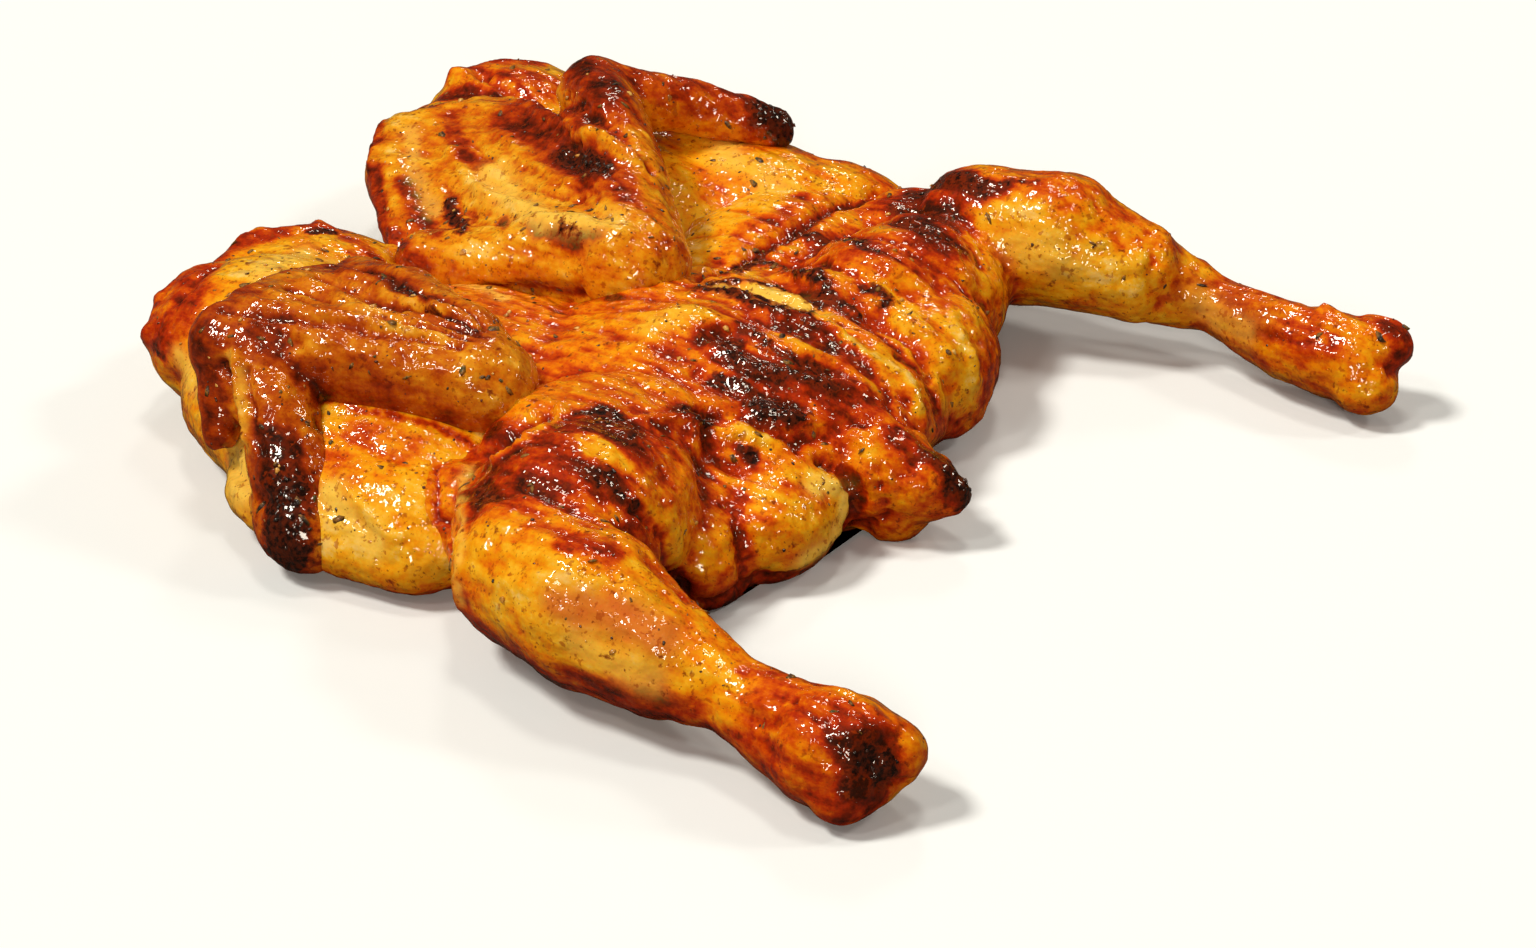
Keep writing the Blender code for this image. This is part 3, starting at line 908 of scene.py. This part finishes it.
# %% Roast of the near leg
NEAR_LEG = {
    "roast": [
        ("calf gold", 0.27, 14, (-114, -28, 34), (-119, -49, 33), (-119, -66, 26)),
        ("calf top", 0.5, 6, (-107, -33, 40), (-91, -38, 37)),
        ("burn on calf", 0.78, 3.0, (-108, -42), (-106, -54)),
        ("calf edge", 0.66, 2.6, (-81, -44, 29), (-90, -56, 29), (-98, -72, 27)),
        ("calf brown", 0.78, 3, (-80, -40, 36), (-86, -48, 34)),
        ("calf fold", 0.5, 3, (-103, -8, 32), (-117, -21, 22)),
        ("low edge", 0.78, 5.5, (-117, -20, 17), (-118, -30, 9), (-121, -51, 11), (-120, -66, 11),
         (-118, -81, 12)),
        ("low red", 0.8, 4, (-121, -58, 15), (-120, -72, 17), (-118, -84, 17)),
        ("shank", 0.32, 6, (-114, -83, 26), (-113, -97, 24)),
        ("shank top", 0.66, 2.2, (-109, -91, 25), (-105, -104, 25), (-102, -115, 25)),
        ("shank under", 0.7, 4, (-116, -85, 11), (-119, -100, 12), (-121, -106, 11)),
        ("foot top", 0.68, 6, (-112, -102, 26), (-114, -118, 27)),
        ("foot gold", 0.5, 3, (-106, -116, 27), (-103, -126, 24)),
        ("foot under", 0.7, 8, (-119, -103, 12), (-123, -114, 12), (-122, -122, 10)),
        ("foot cap", 0.92, 4.5, (-118, -122, 24), (-112, -126, 26), (-108, -130, 22), (-118, -130, 15)),
        ("foot lobe", 0.58, 6, (-105, -134, 19), (-104, -135, 12)),
        ("foot low", 0.86, 3, (-120, -129, 9), (-114, -132, 8)),
    ],
    "pale": [
        ("thin skin", 0.5, 3.6, (-120, -57, 25), (-119, -74, 22)),
        ("fold fat", 0.6, 1.2, (-81, 11, 29), (-111, -15, 33), (-116, -18, 20)),
    ],
    "pink": [
        ("thin skin", 0.85, 4.6, (-119, -49, 32), (-116, -60, 32), (-114, -73, 29)),
    ],
    "char": [
        ("low burn", 0.5, 2.4, (-119, -32, 10), (-120, -46, 9)),
        ("foot hole", 0.85, 4.2, (-115, -129, 20), (-114, -131, 17)),
    ],
}
print("roast of the near leg:", count_strokes(NEAR_LEG), "strokes")

# %% [markdown]
# The far drumstick is paler on its side and orange along its top, with a dark end.

# %% Roast of the far leg
FAR_LEG = {
    "roast": [
        ("calf top", 0.56, 5.5, (115, -13, 41), (112, -40, 44), (113, -61, 37)),
        ("calf side", 0.25, 9, (93, -27, 35), (95, -42, 33), (103, -60, 28)),
        ("shank", 0.46, 5, (111, -67, 34), (120, -76, 25)),
        ("shank top", 0.6, 2.4, (118, -83, 24), (117, -102, 25), (121, -117, 25)),
        ("end red", 0.7, 4, (110, -103, 17), (110, -117, 20)),
        ("end dark", 0.92, 4.4, (120, -129, 25), (121, -133, 20)),
        ("end gold", 0.46, 5, (109, -122, 15), (110, -131, 15)),
        ("end orange", 0.54, 5, (109, -108, 9), (109, -124, 8), (112, -131, 8)),
    ],
    "tan": [
        ("shank olive", 0.6, 6, (112, -76, 24), (112, -96, 20)),
    ],
    "pale": [
        ("calf fat", 0.4, 4, (98, -32, 32), (99, -46, 30)),
        ("shank side", 0.4, 3.4, (113, -78, 20), (112, -92, 18)),
    ],
    "char": [
        ("calf marks", 0.6, 1.8, (100, -18), (103, -30)),
        ("knob", 0.75, 1.6, (120, -111, 26)),
    ],
}
print("roast of the far leg:", count_strokes(FAR_LEG), "strokes")

# %% [markdown]
# The strokes are laid on with shaken edges, because heat has no sharp borders, and each on its own skin, so
# that no colour creeps from a wing to the breast under it. Before them comes an uneven ground. After them,
# hollows are painted darker and ridges lighter: partly the juice and spice that brown in every fold, partly
# painted shade in the hollows and a painted highlight on the ridges. The skin just above the ground is
# painted darker too, as painted shade. Char lifts the skin in blisters.

# %% Painting the roast
AREAS = {
    "skin_back": (BACK_AND_NECK, NEAR_THIGH, HIPS_AND_TAIL, NEAR_LEG, FAR_LEG),
    "skin_left_breast": (NEAR_BREAST,), "skin_right_breast": (FAR_BREAST,),
    "skin_left_wing": (NEAR_WING,), "skin_right_wing": (FAR_WING,),
}
START = {"skin_back": 0.52, "skin_left_breast": 0.32, "skin_right_breast": 0.28, "skin_left_wing": 0.5,
         "skin_right_wing": 0.36}
START_TAN = {"skin_left_wing": 0.75, "skin_right_wing": 0.35}
EDGE_SHAKE = 2.2  # mm by which noise moves the edges of the strokes
# painted shade as well as browning: how much darker a hollow gets, and a ridge lighter as a painted highlight
BREAST_FOLD_SHADE, OTHER_FOLD_SHADE = 0.3, 0.5  # how much darker a hollow gets
DARKEST_ROAST = 0.88  # only char goes beyond this


def lay_strokes(skin):
    """Every stroke of a skin as layer, value, width and laid path."""
    felt = feel([skin])
    return [(layer, value, width, lay(felt, path)) for area in AREAS[skin.name] for layer in area
            for _, value, width, *path in area[layer]]


for name, skin in skins.items():
    laid = lay_strokes(skin)
    spots, out = read(skin)
    shaken = spots + EDGE_SHAKE * np.stack([rough(spots, 9, n) for n in (3, 6, 9)], axis=1)
    paint = {layer: np.zeros(len(spots)) for layer in LAYERS}
    paint["roast"] += START[name] + 0.2 * rough(spots, (14, 24, 14), 2) + 0.14 * rough(spots, (5, 22, 6), 7)
    paint["tan"] += START_TAN.get(name, 0)
    for layer, value, width, path in laid:
        near = np.clip(1.4 * nearness(shaken, path, width), 0, 1)
        paint[layer] += (value - paint[layer]) * near
    # Hollows are painted darker, partly for juice that browns there and partly as painted shade; ridges are
    # painted lighter as a painted highlight.
    narrow, broad = hollow(skin, 12), hollow(skin, 90)
    fold = BREAST_FOLD_SHADE if "breast" in name else OTHER_FOLD_SHADE
    paint["roast"] += fold * np.clip(narrow, -0.1, 0.35) + 0.2 * fold * np.clip(broad, -0.3, 1.5)
    # Painted shade: the skin is painted darker in the last 9 mm above the ground.
    ground_shade = np.clip(1 - spots[:, 2] / 9, 0, 1)
    paint["roast"] = np.minimum(paint["roast"] + 0.12 * ground_shade, DARKEST_ROAST)
    for layer, values in paint.items():
        skin.data.attributes.new(layer, "FLOAT", "POINT").data.foreach_set("value", values.astype(np.float32))
    crust = np.clip(1.6 * paint["char"] - 0.3, 0, 1)
    blister = 0.9 * crust * np.abs(rough(spots, 3.6, 12))
    write(skin, spots + out * blister[:, None])
    print(name, len(laid), "strokes,", {layer: round(float(row.mean()), 2) for layer, row in paint.items()})

# %% [markdown]
# ## Materials
# The skin is wet with oil, so its gloss is a coat over a duller base, and light goes a little way into the
# fat, which is subsurface scattering. Colour comes from the painted numbers, broken up by noise at the size
# of pores and spice grains.

# %% Colours and shaders
def colour(red, green, blue):
    """A colour mixed from parts of 255, as linear light."""
    return tuple(((part / 255 + 0.055) / 1.055) ** 2.4 if part > 10 else part / 255 / 12.92
                 for part in (red, green, blue)) + (1,)


def material(name):
    """An empty material and its shader."""
    made = bpy.data.materials.new(name)
    made.use_nodes = True
    tree = made.node_tree
    tree.nodes.clear()
    shader = tree.nodes.new("ShaderNodeBsdfPrincipled")
    output = tree.nodes.new("ShaderNodeOutputMaterial")
    tree.links.new(shader.outputs["BSDF"], output.inputs["Surface"])
    return made, tree, shader


def plug(tree, socket, source):
    """Links an output to a socket, or sets the socket to a plain value."""
    if isinstance(source, bpy.types.NodeSocket):
        tree.links.new(source, socket)
    else:
        socket.default_value = source


print("half grey as linear light:", round(colour(128, 128, 128)[0], 3))

# %% [markdown]
# A material could be drawn in the node editor. Written down, each kind of node becomes a function, and a
# tree reads like a recipe: sums, soft thresholds and mixes first.

# %% Sums and mixes
def sum_of(tree, operation, *values):
    """One step of arithmetic."""
    node = tree.nodes.new("ShaderNodeMath")
    node.operation = operation
    for socket, value in zip(node.inputs, values):
        plug(tree, socket, value)
    return node.outputs[0]


def between(tree, value, low, high, start=0.0, end=1.0):
    """Turns low to high into start to end, softly."""
    node = tree.nodes.new("ShaderNodeMapRange")
    node.interpolation_type = "SMOOTHSTEP"
    sockets = ("Value", "From Min", "From Max", "To Min", "To Max")
    for socket, given in zip(sockets, (value, low, high, start, end)):
        plug(tree, node.inputs[socket], given)
    return node.outputs[0]


def mixed(tree, share, first, second, blend="MIX"):
    """Two colours mixed."""
    node = tree.nodes.new("ShaderNodeMix")
    node.data_type = "RGBA"
    node.blend_type = blend
    node.clamp_factor = True
    plug(tree, node.inputs["Factor"], share)
    plug(tree, node.inputs[6], first)
    plug(tree, node.inputs[7], second)
    return node.outputs[2]


# %% [markdown]
# Noise gives the mottling, a ramp turns a number into a colour, and a bump turns it into small relief.

# %% Noise, ramps and bumps
def noise(tree, where, size, detail=2.0, roughness=0.5, stretch=(1, 1, 1)):
    """Noise whose grains are size mm apart, longer where stretch is above one."""
    turn = tree.nodes.new("ShaderNodeMapping")
    plug(tree, turn.inputs["Vector"], where)
    turn.inputs["Scale"].default_value = [1 / part for part in stretch]
    node = tree.nodes.new("ShaderNodeTexNoise")
    plug(tree, node.inputs["Vector"], turn.outputs["Vector"])
    node.inputs["Scale"].default_value = 1000 / size
    node.inputs["Detail"].default_value = detail
    node.inputs["Roughness"].default_value = roughness
    return node.outputs["Fac"]


def ramp(tree, value, stops):
    """A row of colours along a value."""
    node = tree.nodes.new("ShaderNodeValToRGB")
    plug(tree, node.inputs["Fac"], value)
    row = node.color_ramp.elements
    while len(row) < len(stops):
        row.new(1)
    for element, (place, mix) in zip(row, stops):
        element.position = place
        element.color = mix
    return node.outputs["Color"]


def bump(tree, height, depth, under=None):
    """A bump of a depth in mm."""
    node = tree.nodes.new("ShaderNodeBump")
    node.inputs["Distance"].default_value = depth * MM
    node.inputs["Strength"].default_value = 1
    plug(tree, node.inputs["Height"], height)
    if under is not None:
        plug(tree, node.inputs["Normal"], under)
    return node.outputs["Normal"]


def where_on(tree):
    """The place on the piece, in metres."""
    return tree.nodes.new("ShaderNodeTexCoord").outputs["Object"]


def painted(tree, layer):
    """A painted number."""
    node = tree.nodes.new("ShaderNodeAttribute")
    node.attribute_name = layer
    return node.outputs["Fac"]


# %% [markdown]
# The road from raw fat to burnt: the stops are the colours of the skin itself, from the palest rim of fat to
# the darkest glaze. A second road, browner and less red, is that of the wings, where the skin dried.

# %% Roast skin
ROAST_ROAD = (
    (0.00, colour(246, 200, 104)), (0.14, colour(243, 180, 36)), (0.28, colour(238, 158, 10)),
    (0.42, colour(230, 126, 3)), (0.56, colour(208, 82, 1)), (0.70, colour(176, 44, 1)),
    (0.84, colour(120, 28, 1)), (1.00, colour(58, 17, 2)),
)
TAN_ROAD = (
    (0.00, colour(240, 188, 92)), (0.18, colour(224, 148, 34)), (0.34, colour(200, 110, 12)),
    (0.50, colour(176, 78, 5)), (0.66, colour(146, 50, 4)), (0.82, colour(100, 30, 3)),
    (1.00, colour(42, 13, 3)),
)
FAT = colour(246, 198, 80)
PINK_MEAT = colour(206, 104, 38)
BURN = colour(30, 10, 5)

SPECK = colour(112, 38, 6)
FRECKLE = colour(160, 56, 4)
SCORCH = colour(122, 36, 4)
EMBER = colour(84, 28, 8)

roast_skin, skin_tree, shader = material("roast skin")
where = where_on(skin_tree)
mottle = noise(skin_tree, where, 7, 5, 0.6)
streaks = noise(skin_tree, where, 3.0, 4, 0.6, (1, 3.5, 1))
pores = noise(skin_tree, where, 1.5, 3, 0.6)
spice = noise(skin_tree, where, 0.9, 2, 0.5)
crumbly = noise(skin_tree, where, 2.4, 3, 0.6)
spotty = noise(skin_tree, where, 2.2, 2, 0.6)

roast = painted(skin_tree, "roast")
for pattern, share in ((mottle, 0.7), (streaks, 0.7), (pores, 0.3)):
    level = sum_of(skin_tree, "SUBTRACT", roast, share / 2)
    roast = sum_of(skin_tree, "MULTIPLY_ADD", pattern, share, level)
char = painted(skin_tree, "char")
burnt_edge = sum_of(skin_tree, "MULTIPLY_ADD", char, 0.55, roast)
skin_colour = mixed(skin_tree, painted(skin_tree, "tan"), ramp(skin_tree, burnt_edge, ROAST_ROAD),
                    ramp(skin_tree, burnt_edge, TAN_ROAD))
blotchy = between(skin_tree, mottle, 0.3, 0.6, 0.6, 1)
fat_share = sum_of(skin_tree, "MULTIPLY", painted(skin_tree, "pale"), blotchy)
skin_colour = mixed(skin_tree, fat_share, skin_colour, FAT)
skin_colour = mixed(skin_tree, painted(skin_tree, "pink"), skin_colour, PINK_MEAT)
skin_colour = mixed(skin_tree, between(skin_tree, spice, 0.66, 0.73, 0, 0.7), skin_colour, SPECK)
skin_colour = mixed(skin_tree, between(skin_tree, spotty, 0.6, 0.68, 0, 0.6), skin_colour, FRECKLE)
print("roads of", len(ROAST_ROAD), "and", len(TAN_ROAD), "colours")

# %% [markdown]
# Char never ends in a smooth line. The painted number is roughened with two noises and then used twice: a low
# threshold scorches the skin brown, and a higher one burns it black, so that every burn has a brown edge.

# %% Burns
ragged = sum_of(skin_tree, "MULTIPLY_ADD", crumbly, 2.0, sum_of(skin_tree, "SUBTRACT", char, 1.25))
ragged = sum_of(skin_tree, "MULTIPLY_ADD", streaks, 0.5, ragged)
skin_colour = mixed(skin_tree, between(skin_tree, ragged, 0.2, 0.48, 0, 0.85), skin_colour, SCORCH)
burn_colour = mixed(skin_tree, between(skin_tree, pores, 0.38, 0.62), BURN, EMBER)
skin_colour = mixed(skin_tree, between(skin_tree, ragged, 0.46, 0.74), skin_colour, burn_colour)
plug(skin_tree, shader.inputs["Base Color"], skin_colour)
plug(skin_tree, shader.inputs["Roughness"], between(skin_tree, pores, 0.3, 0.7, 0.4, 0.6))
print("roast skin with burns:", len(skin_tree.nodes), "nodes")

# %% [markdown]
# The oil is a coat with a bump of its own, deeper than that of the flesh: it pools and stands in drops, and
# each drop gives one glint. A bump too fine or too deep would break the glints into a milky haze.

# %% Oil and goose skin
OIL_AND_FAT = {
    "Specular IOR Level": 0.05, "Coat Weight": 1.0, "Coat Roughness": 0.06, "Coat IOR": 1.45,
    "Subsurface Weight": 0.12, "Subsurface Radius": (1.0, 0.35, 0.1), "Subsurface Scale": 3 * MM,
}
FLESH_DEPTHS = (0.9, 0.35, 0.06)  # mm, for folds, pimples and grain
OIL_DEPTHS = (1.3, 0.6, 0.03)

for socket, value in OIL_AND_FAT.items():
    shader.inputs[socket].default_value = value
folded = noise(skin_tree, where, 4.5, 1, 0.4, (1, 2.4, 1))
pimpled = noise(skin_tree, where, 2.1, 0.8, 0.4)
grained = noise(skin_tree, where, 0.8, 0, 0.5)
for socket, depths in (("Normal", FLESH_DEPTHS), ("Coat Normal", OIL_DEPTHS)):
    normal = None
    for pattern, depth in zip((folded, pimpled, grained), depths):
        normal = bump(skin_tree, pattern, depth, normal)
    plug(skin_tree, shader.inputs[socket], normal)

for skin in skins.values():
    skin.data.materials.clear()
    skin.data.materials.append(roast_skin)
    pick(skin)
    bpy.ops.object.shade_smooth()
print("roast skin:", len(skin_tree.nodes), "nodes")

# %% [markdown]
# ## Crumbs and herbs
# Burnt crumbs, chopped herbs and bits of garlic stick to the oil. They are real bodies at true size. One of
# each kind is modelled, and copies of it are strewn over the skin and joined into one mesh per kind.

# %% Strewing
def strew(name, shape, count, sizes, weigh, lift, seed):
    """Joins many copies of a small shape, laid on the skins, into one piece; lift is a share of its size."""
    dice = np.random.default_rng(seed)
    grains = np.array([v.co for v in shape.data.vertices])
    faces = np.array([[v for v in face.vertices] for face in shape.data.polygons])
    places, outs, weights = [], [], []
    for skin in skins.values():
        spots, out = read(skin)
        places.append(spots)
        outs.append(out)
        weights.append(weigh(skin, spots, out))
    places, outs, weights = np.concatenate(places), np.concatenate(outs), np.concatenate(weights)
    chosen = dice.choice(len(places), count, p=weights / weights.sum())
    out = outs[chosen] + dice.normal(0, 0.25, (count, 3))
    out /= np.linalg.norm(out, axis=1)[:, None]
    side = np.cross(out, dice.normal(0, 1, (count, 3)))
    side /= np.linalg.norm(side, axis=1)[:, None]
    front = np.cross(out, side)
    size = dice.uniform(*sizes, count) * dice.uniform(0.7, 1.0, count)
    stretch = dice.uniform(0.7, 1.3, (count, 3)) * size[:, None]
    turned = np.stack([side, front, out], axis=1)
    local = grains[None] * stretch[:, None]
    local = local + local * 0.25 * dice.normal(0, 1, (count, len(grains), 1))
    seat = places[chosen] + outs[chosen] * (size * lift)[:, None]
    world = np.einsum("nvk,nkj->nvj", local, turned) + seat[:, None]
    world = (world - np.array(HOME)) * MM
    world[..., 2] = np.maximum(world[..., 2], 0.0001)
    index = (np.arange(count) * len(grains))[:, None, None] + faces[None]
    mesh = bpy.data.meshes.new(name)
    mesh.from_pydata(world.reshape(-1, 3).tolist(), [], index.reshape(-1, faces.shape[1]).tolist())
    piece = bpy.data.objects.new(name, mesh)
    bpy.context.collection.objects.link(piece)
    bpy.data.objects.remove(shape)
    print(name, count, "bits,", triangles(piece), "triangles")
    return piece


# %% [markdown]
# A crumb or flake begins as a rough ball, flattened as it needs. Herbs fall on what faces up, in drifts, as
# a hand strews them, and burnt crumbs sit only where the skin is charred.

# %% Crumbs, herbs, spice and garlic
def pebble(half_sizes, divisions):
    """A small rough ball, half sizes as shares of its size."""
    deselect()
    bpy.ops.mesh.primitive_ico_sphere_add(subdivisions=divisions, radius=1)
    shape = bpy.context.object
    shape.scale = half_sizes
    bpy.ops.object.transform_apply(scale=True)
    return shape


def layer_of(skin, layer):
    """A painted layer's number at every vertex."""
    values = np.empty(len(skin.data.vertices))
    skin.data.attributes[layer].data.foreach_get("value", values)
    return values


def in_sight(spots, out):
    """Up-facing skin well off the ground."""
    return np.clip(out[:, 2] + 0.35, 0, 1) * np.clip((spots[:, 2] - 4) / 4, 0, 1)


def on_burns(skin, spots, out):
    """Only where the skin is charred."""
    return in_sight(spots, out) * np.clip(layer_of(skin, "char") - 0.4, 0, 1) ** 1.2 + 1e-9


def all_over(skin, spots, out):
    """All over, but in drifts, as a hand strews."""
    return in_sight(spots, out) * (0.15 + np.clip(rough(spots, 14, 15), 0, 1) ** 1.5) + 1e-9


crumbs = strew("char_crumbs", pebble((1, 0.8, 0.6), 2), 120, (0.3, 0.8), on_burns, lift=0.1, seed=21)
herbs = strew("herb_flakes", pebble((1.0, 0.5, 0.16), 1), 500, (0.6, 1.9), all_over, lift=0, seed=22)
spices = strew("spice_grains", pebble((1.0, 0.8, 0.5), 1), 600, (0.2, 0.6), all_over, lift=0, seed=24)
garlic = strew("garlic_bits", pebble((1, 0.7, 0.4), 2), 140, (0.4, 1.1), all_over, lift=0.2, seed=23)

# %% [markdown]
# All these bits are patchy and finely wrinkled. That is made once, as a node group that every bit's material
# shares, with the size of the patches as its only input.

# %% A surface for bits
bit_surface = bpy.data.node_groups.new("bit surface", "ShaderNodeTree")
bit_surface.interface.new_socket("Patch Size", in_out="INPUT", socket_type="NodeSocketFloat")
bit_surface.interface.new_socket("Patch", in_out="OUTPUT", socket_type="NodeSocketFloat")
bit_surface.interface.new_socket("Normal", in_out="OUTPUT", socket_type="NodeSocketVector")
taken = bit_surface.nodes.new("NodeGroupInput")
given = bit_surface.nodes.new("NodeGroupOutput")
patches = bit_surface.nodes.new("ShaderNodeTexNoise")
plug(bit_surface, patches.inputs["Vector"], where_on(bit_surface))
plug(bit_surface, patches.inputs["Scale"], sum_of(bit_surface, "DIVIDE", 1000.0, taken.outputs["Patch Size"]))
plug(bit_surface, given.inputs["Patch"], patches.outputs["Fac"])
wrinkled = bump(bit_surface, noise(bit_surface, where_on(bit_surface), 0.4, 2, 0.5), 0.15)
plug(bit_surface, given.inputs["Normal"], wrinkled)
print("bit surface:", len(bit_surface.nodes), "nodes")

# %% [markdown]
# Burnt crumbs are black and shine where oil wets them. Dried herbs are dark green to brown, and no two alike.

# %% Crumb and herb materials
def bit_material(name, stops, patch_size, gloss, coat):
    """A material whose colour changes from patch to patch, for bits that stick to the skin."""
    made, tree, shader = material(name)
    surface = tree.nodes.new("ShaderNodeGroup")
    surface.node_tree = bit_surface
    surface.inputs["Patch Size"].default_value = patch_size
    patch = surface.outputs["Patch"]
    plug(tree, shader.inputs["Base Color"], ramp(tree, patch, stops))
    plug(tree, shader.inputs["Roughness"], between(tree, patch, 0.3, 0.7, gloss, gloss + 0.2))
    shader.inputs["Coat Weight"].default_value = coat
    shader.inputs["Coat Roughness"].default_value = 0.08
    plug(tree, shader.inputs["Normal"], surface.outputs["Normal"])
    return made


CRUMB_STOPS = ((0.35, colour(16, 7, 4)), (0.5, colour(44, 18, 8)), (0.65, colour(84, 32, 10)))
HERB_STOPS = ((0.35, colour(38, 22, 6)), (0.45, colour(86, 50, 8)), (0.55, colour(150, 100, 18)),
              (0.65, colour(66, 60, 12)))
SPICE_STOPS = ((0.4, colour(52, 18, 6)), (0.5, colour(110, 40, 8)), (0.6, colour(40, 22, 8)))
GARLIC_STOPS = ((0.35, colour(150, 84, 20)), (0.5, colour(214, 150, 54)), (0.65, colour(232, 186, 96)))
bits = {
    crumbs: bit_material("burnt crumb", CRUMB_STOPS, 3, 0.35, 0.8),
    herbs: bit_material("dried herb", HERB_STOPS, 2, 0.5, 0.15),
    spices: bit_material("ground spice", SPICE_STOPS, 3, 0.4, 0.6),
    garlic: bit_material("roast garlic", GARLIC_STOPS, 4, 0.4, 0.6),
}
for piece, look in bits.items():
    piece.data.materials.append(look)
    pick(piece)
    bpy.ops.object.shade_smooth()
print([look.name for look in bits.values()])

# %% [markdown]
# ## Handing over to the frame
# Every piece rides on the bird's one body, and the plain solid is hidden.

# %% Riding
for piece in list(skins.values()) + list(bits):
    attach(piece, "root")
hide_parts("roast_chicken")
print(len(skins) + len(bits), "pieces ride on the root")

# %% [markdown]
# ## Studio
# The bird is shown on a plain pale floor. Food looks fresh in warm light, but the floor and the sky must not
# be mirrored in the oil as a milky veil, so both are darker where a glossy surface looks at them.

# %% Floor and sky
deselect()
bpy.ops.mesh.primitive_plane_add(size=6)
floor = bpy.context.object
floor.name = "floor"
floor_look, floor_tree, floor_shader = material("pale floor")
light_path = floor_tree.nodes.new("ShaderNodeLightPath").outputs
bounced = mixed(floor_tree, light_path["Is Glossy Ray"], (0.25, 0.23, 0.2, 1), (0.05, 0.045, 0.04, 1))
plug(floor_tree, floor_shader.inputs["Base Color"],
     mixed(floor_tree, light_path["Is Camera Ray"], bounced, (0.87, 0.92, 1.0, 1)))
floor_shader.inputs["Roughness"].default_value = 0.8
floor_shader.inputs["Specular IOR Level"].default_value = 0.1
floor.data.materials.append(floor_look)

world = bpy.data.worlds.new("studio")
bpy.context.scene.world = world
world.use_nodes = True
world.node_tree.nodes["Background"].inputs["Color"].default_value = (1, 0.9, 0.76, 1)
sky_path = world.node_tree.nodes.new("ShaderNodeLightPath").outputs
plug(world.node_tree, world.node_tree.nodes["Background"].inputs["Strength"],
     between(world.node_tree, sky_path["Is Glossy Ray"], 0, 1, 0.12, 0.02))
print("floor", [round(v, 1) for v in floor.dimensions], "m")

# %% [markdown]
# The key light is at the upper left, slightly behind, with one lamp above and one in front to open the
# shadows. Three weak ones are there for their glints, since oil sparkles where a small lamp is mirrored.

# %% Lamps
def sun(name, place, softness, strength, light):
    """A far lamp in the direction of a place, its softness in degrees across."""
    lamp = bpy.data.lights.new(name, "SUN")
    lamp.angle = math.radians(softness)
    lamp.energy = strength
    lamp.color = light
    holder = bpy.data.objects.new(name, lamp)
    holder.location = place
    holder.rotation_euler = (-Vector(place)).to_track_quat("-Z", "Y").to_euler()
    bpy.context.collection.objects.link(holder)


WARM, WARMER = (1, 0.93, 0.78), (1, 0.9, 0.74)
LAMPS = {
    "key": ((-0.5, 0.65, 1.25), 12, 2.15, WARM),
    "overhead": ((0.3, 0.1, 1.4), 10, 0.5, WARM),
    "front": ((-1.1, -0.8, 0.65), 12, 0.95, WARMER),
    "spark_back": ((1.1, 0.7, 1.1), 8, 0.3, WARM),
    "spark_right": ((0.8, -0.7, 0.9), 9, 0.5, WARM),
    "spark_left": ((-0.9, 0.2, 1.2), 8, 0.3, WARM),
}
for name, lamp in LAMPS.items():
    sun(name, *lamp)
print(len(LAMPS), "lamps")

# %% [markdown]
# The camera has a long lens and looks down at the table, as from a chair a little way off. A short lens
# would make the near foot too large.

# %% Camera
camera_lens = bpy.data.cameras.new("camera")
camera_lens.lens = 85
camera_lens.sensor_width = 36
camera_lens.clip_start = 0.01
camera = bpy.data.objects.new("camera", camera_lens)
camera.location = (-0.65110, -0.50134, 0.44432)
camera.rotation_euler = Vector((0.7072, 0.5138, -0.4857)).to_track_quat("-Z", "Y").to_euler()
bpy.context.collection.objects.link(camera)
bpy.context.scene.camera = camera
bpy.context.scene.view_settings.view_transform = "Standard"
print("camera with a lens of", camera_lens.lens, "mm")
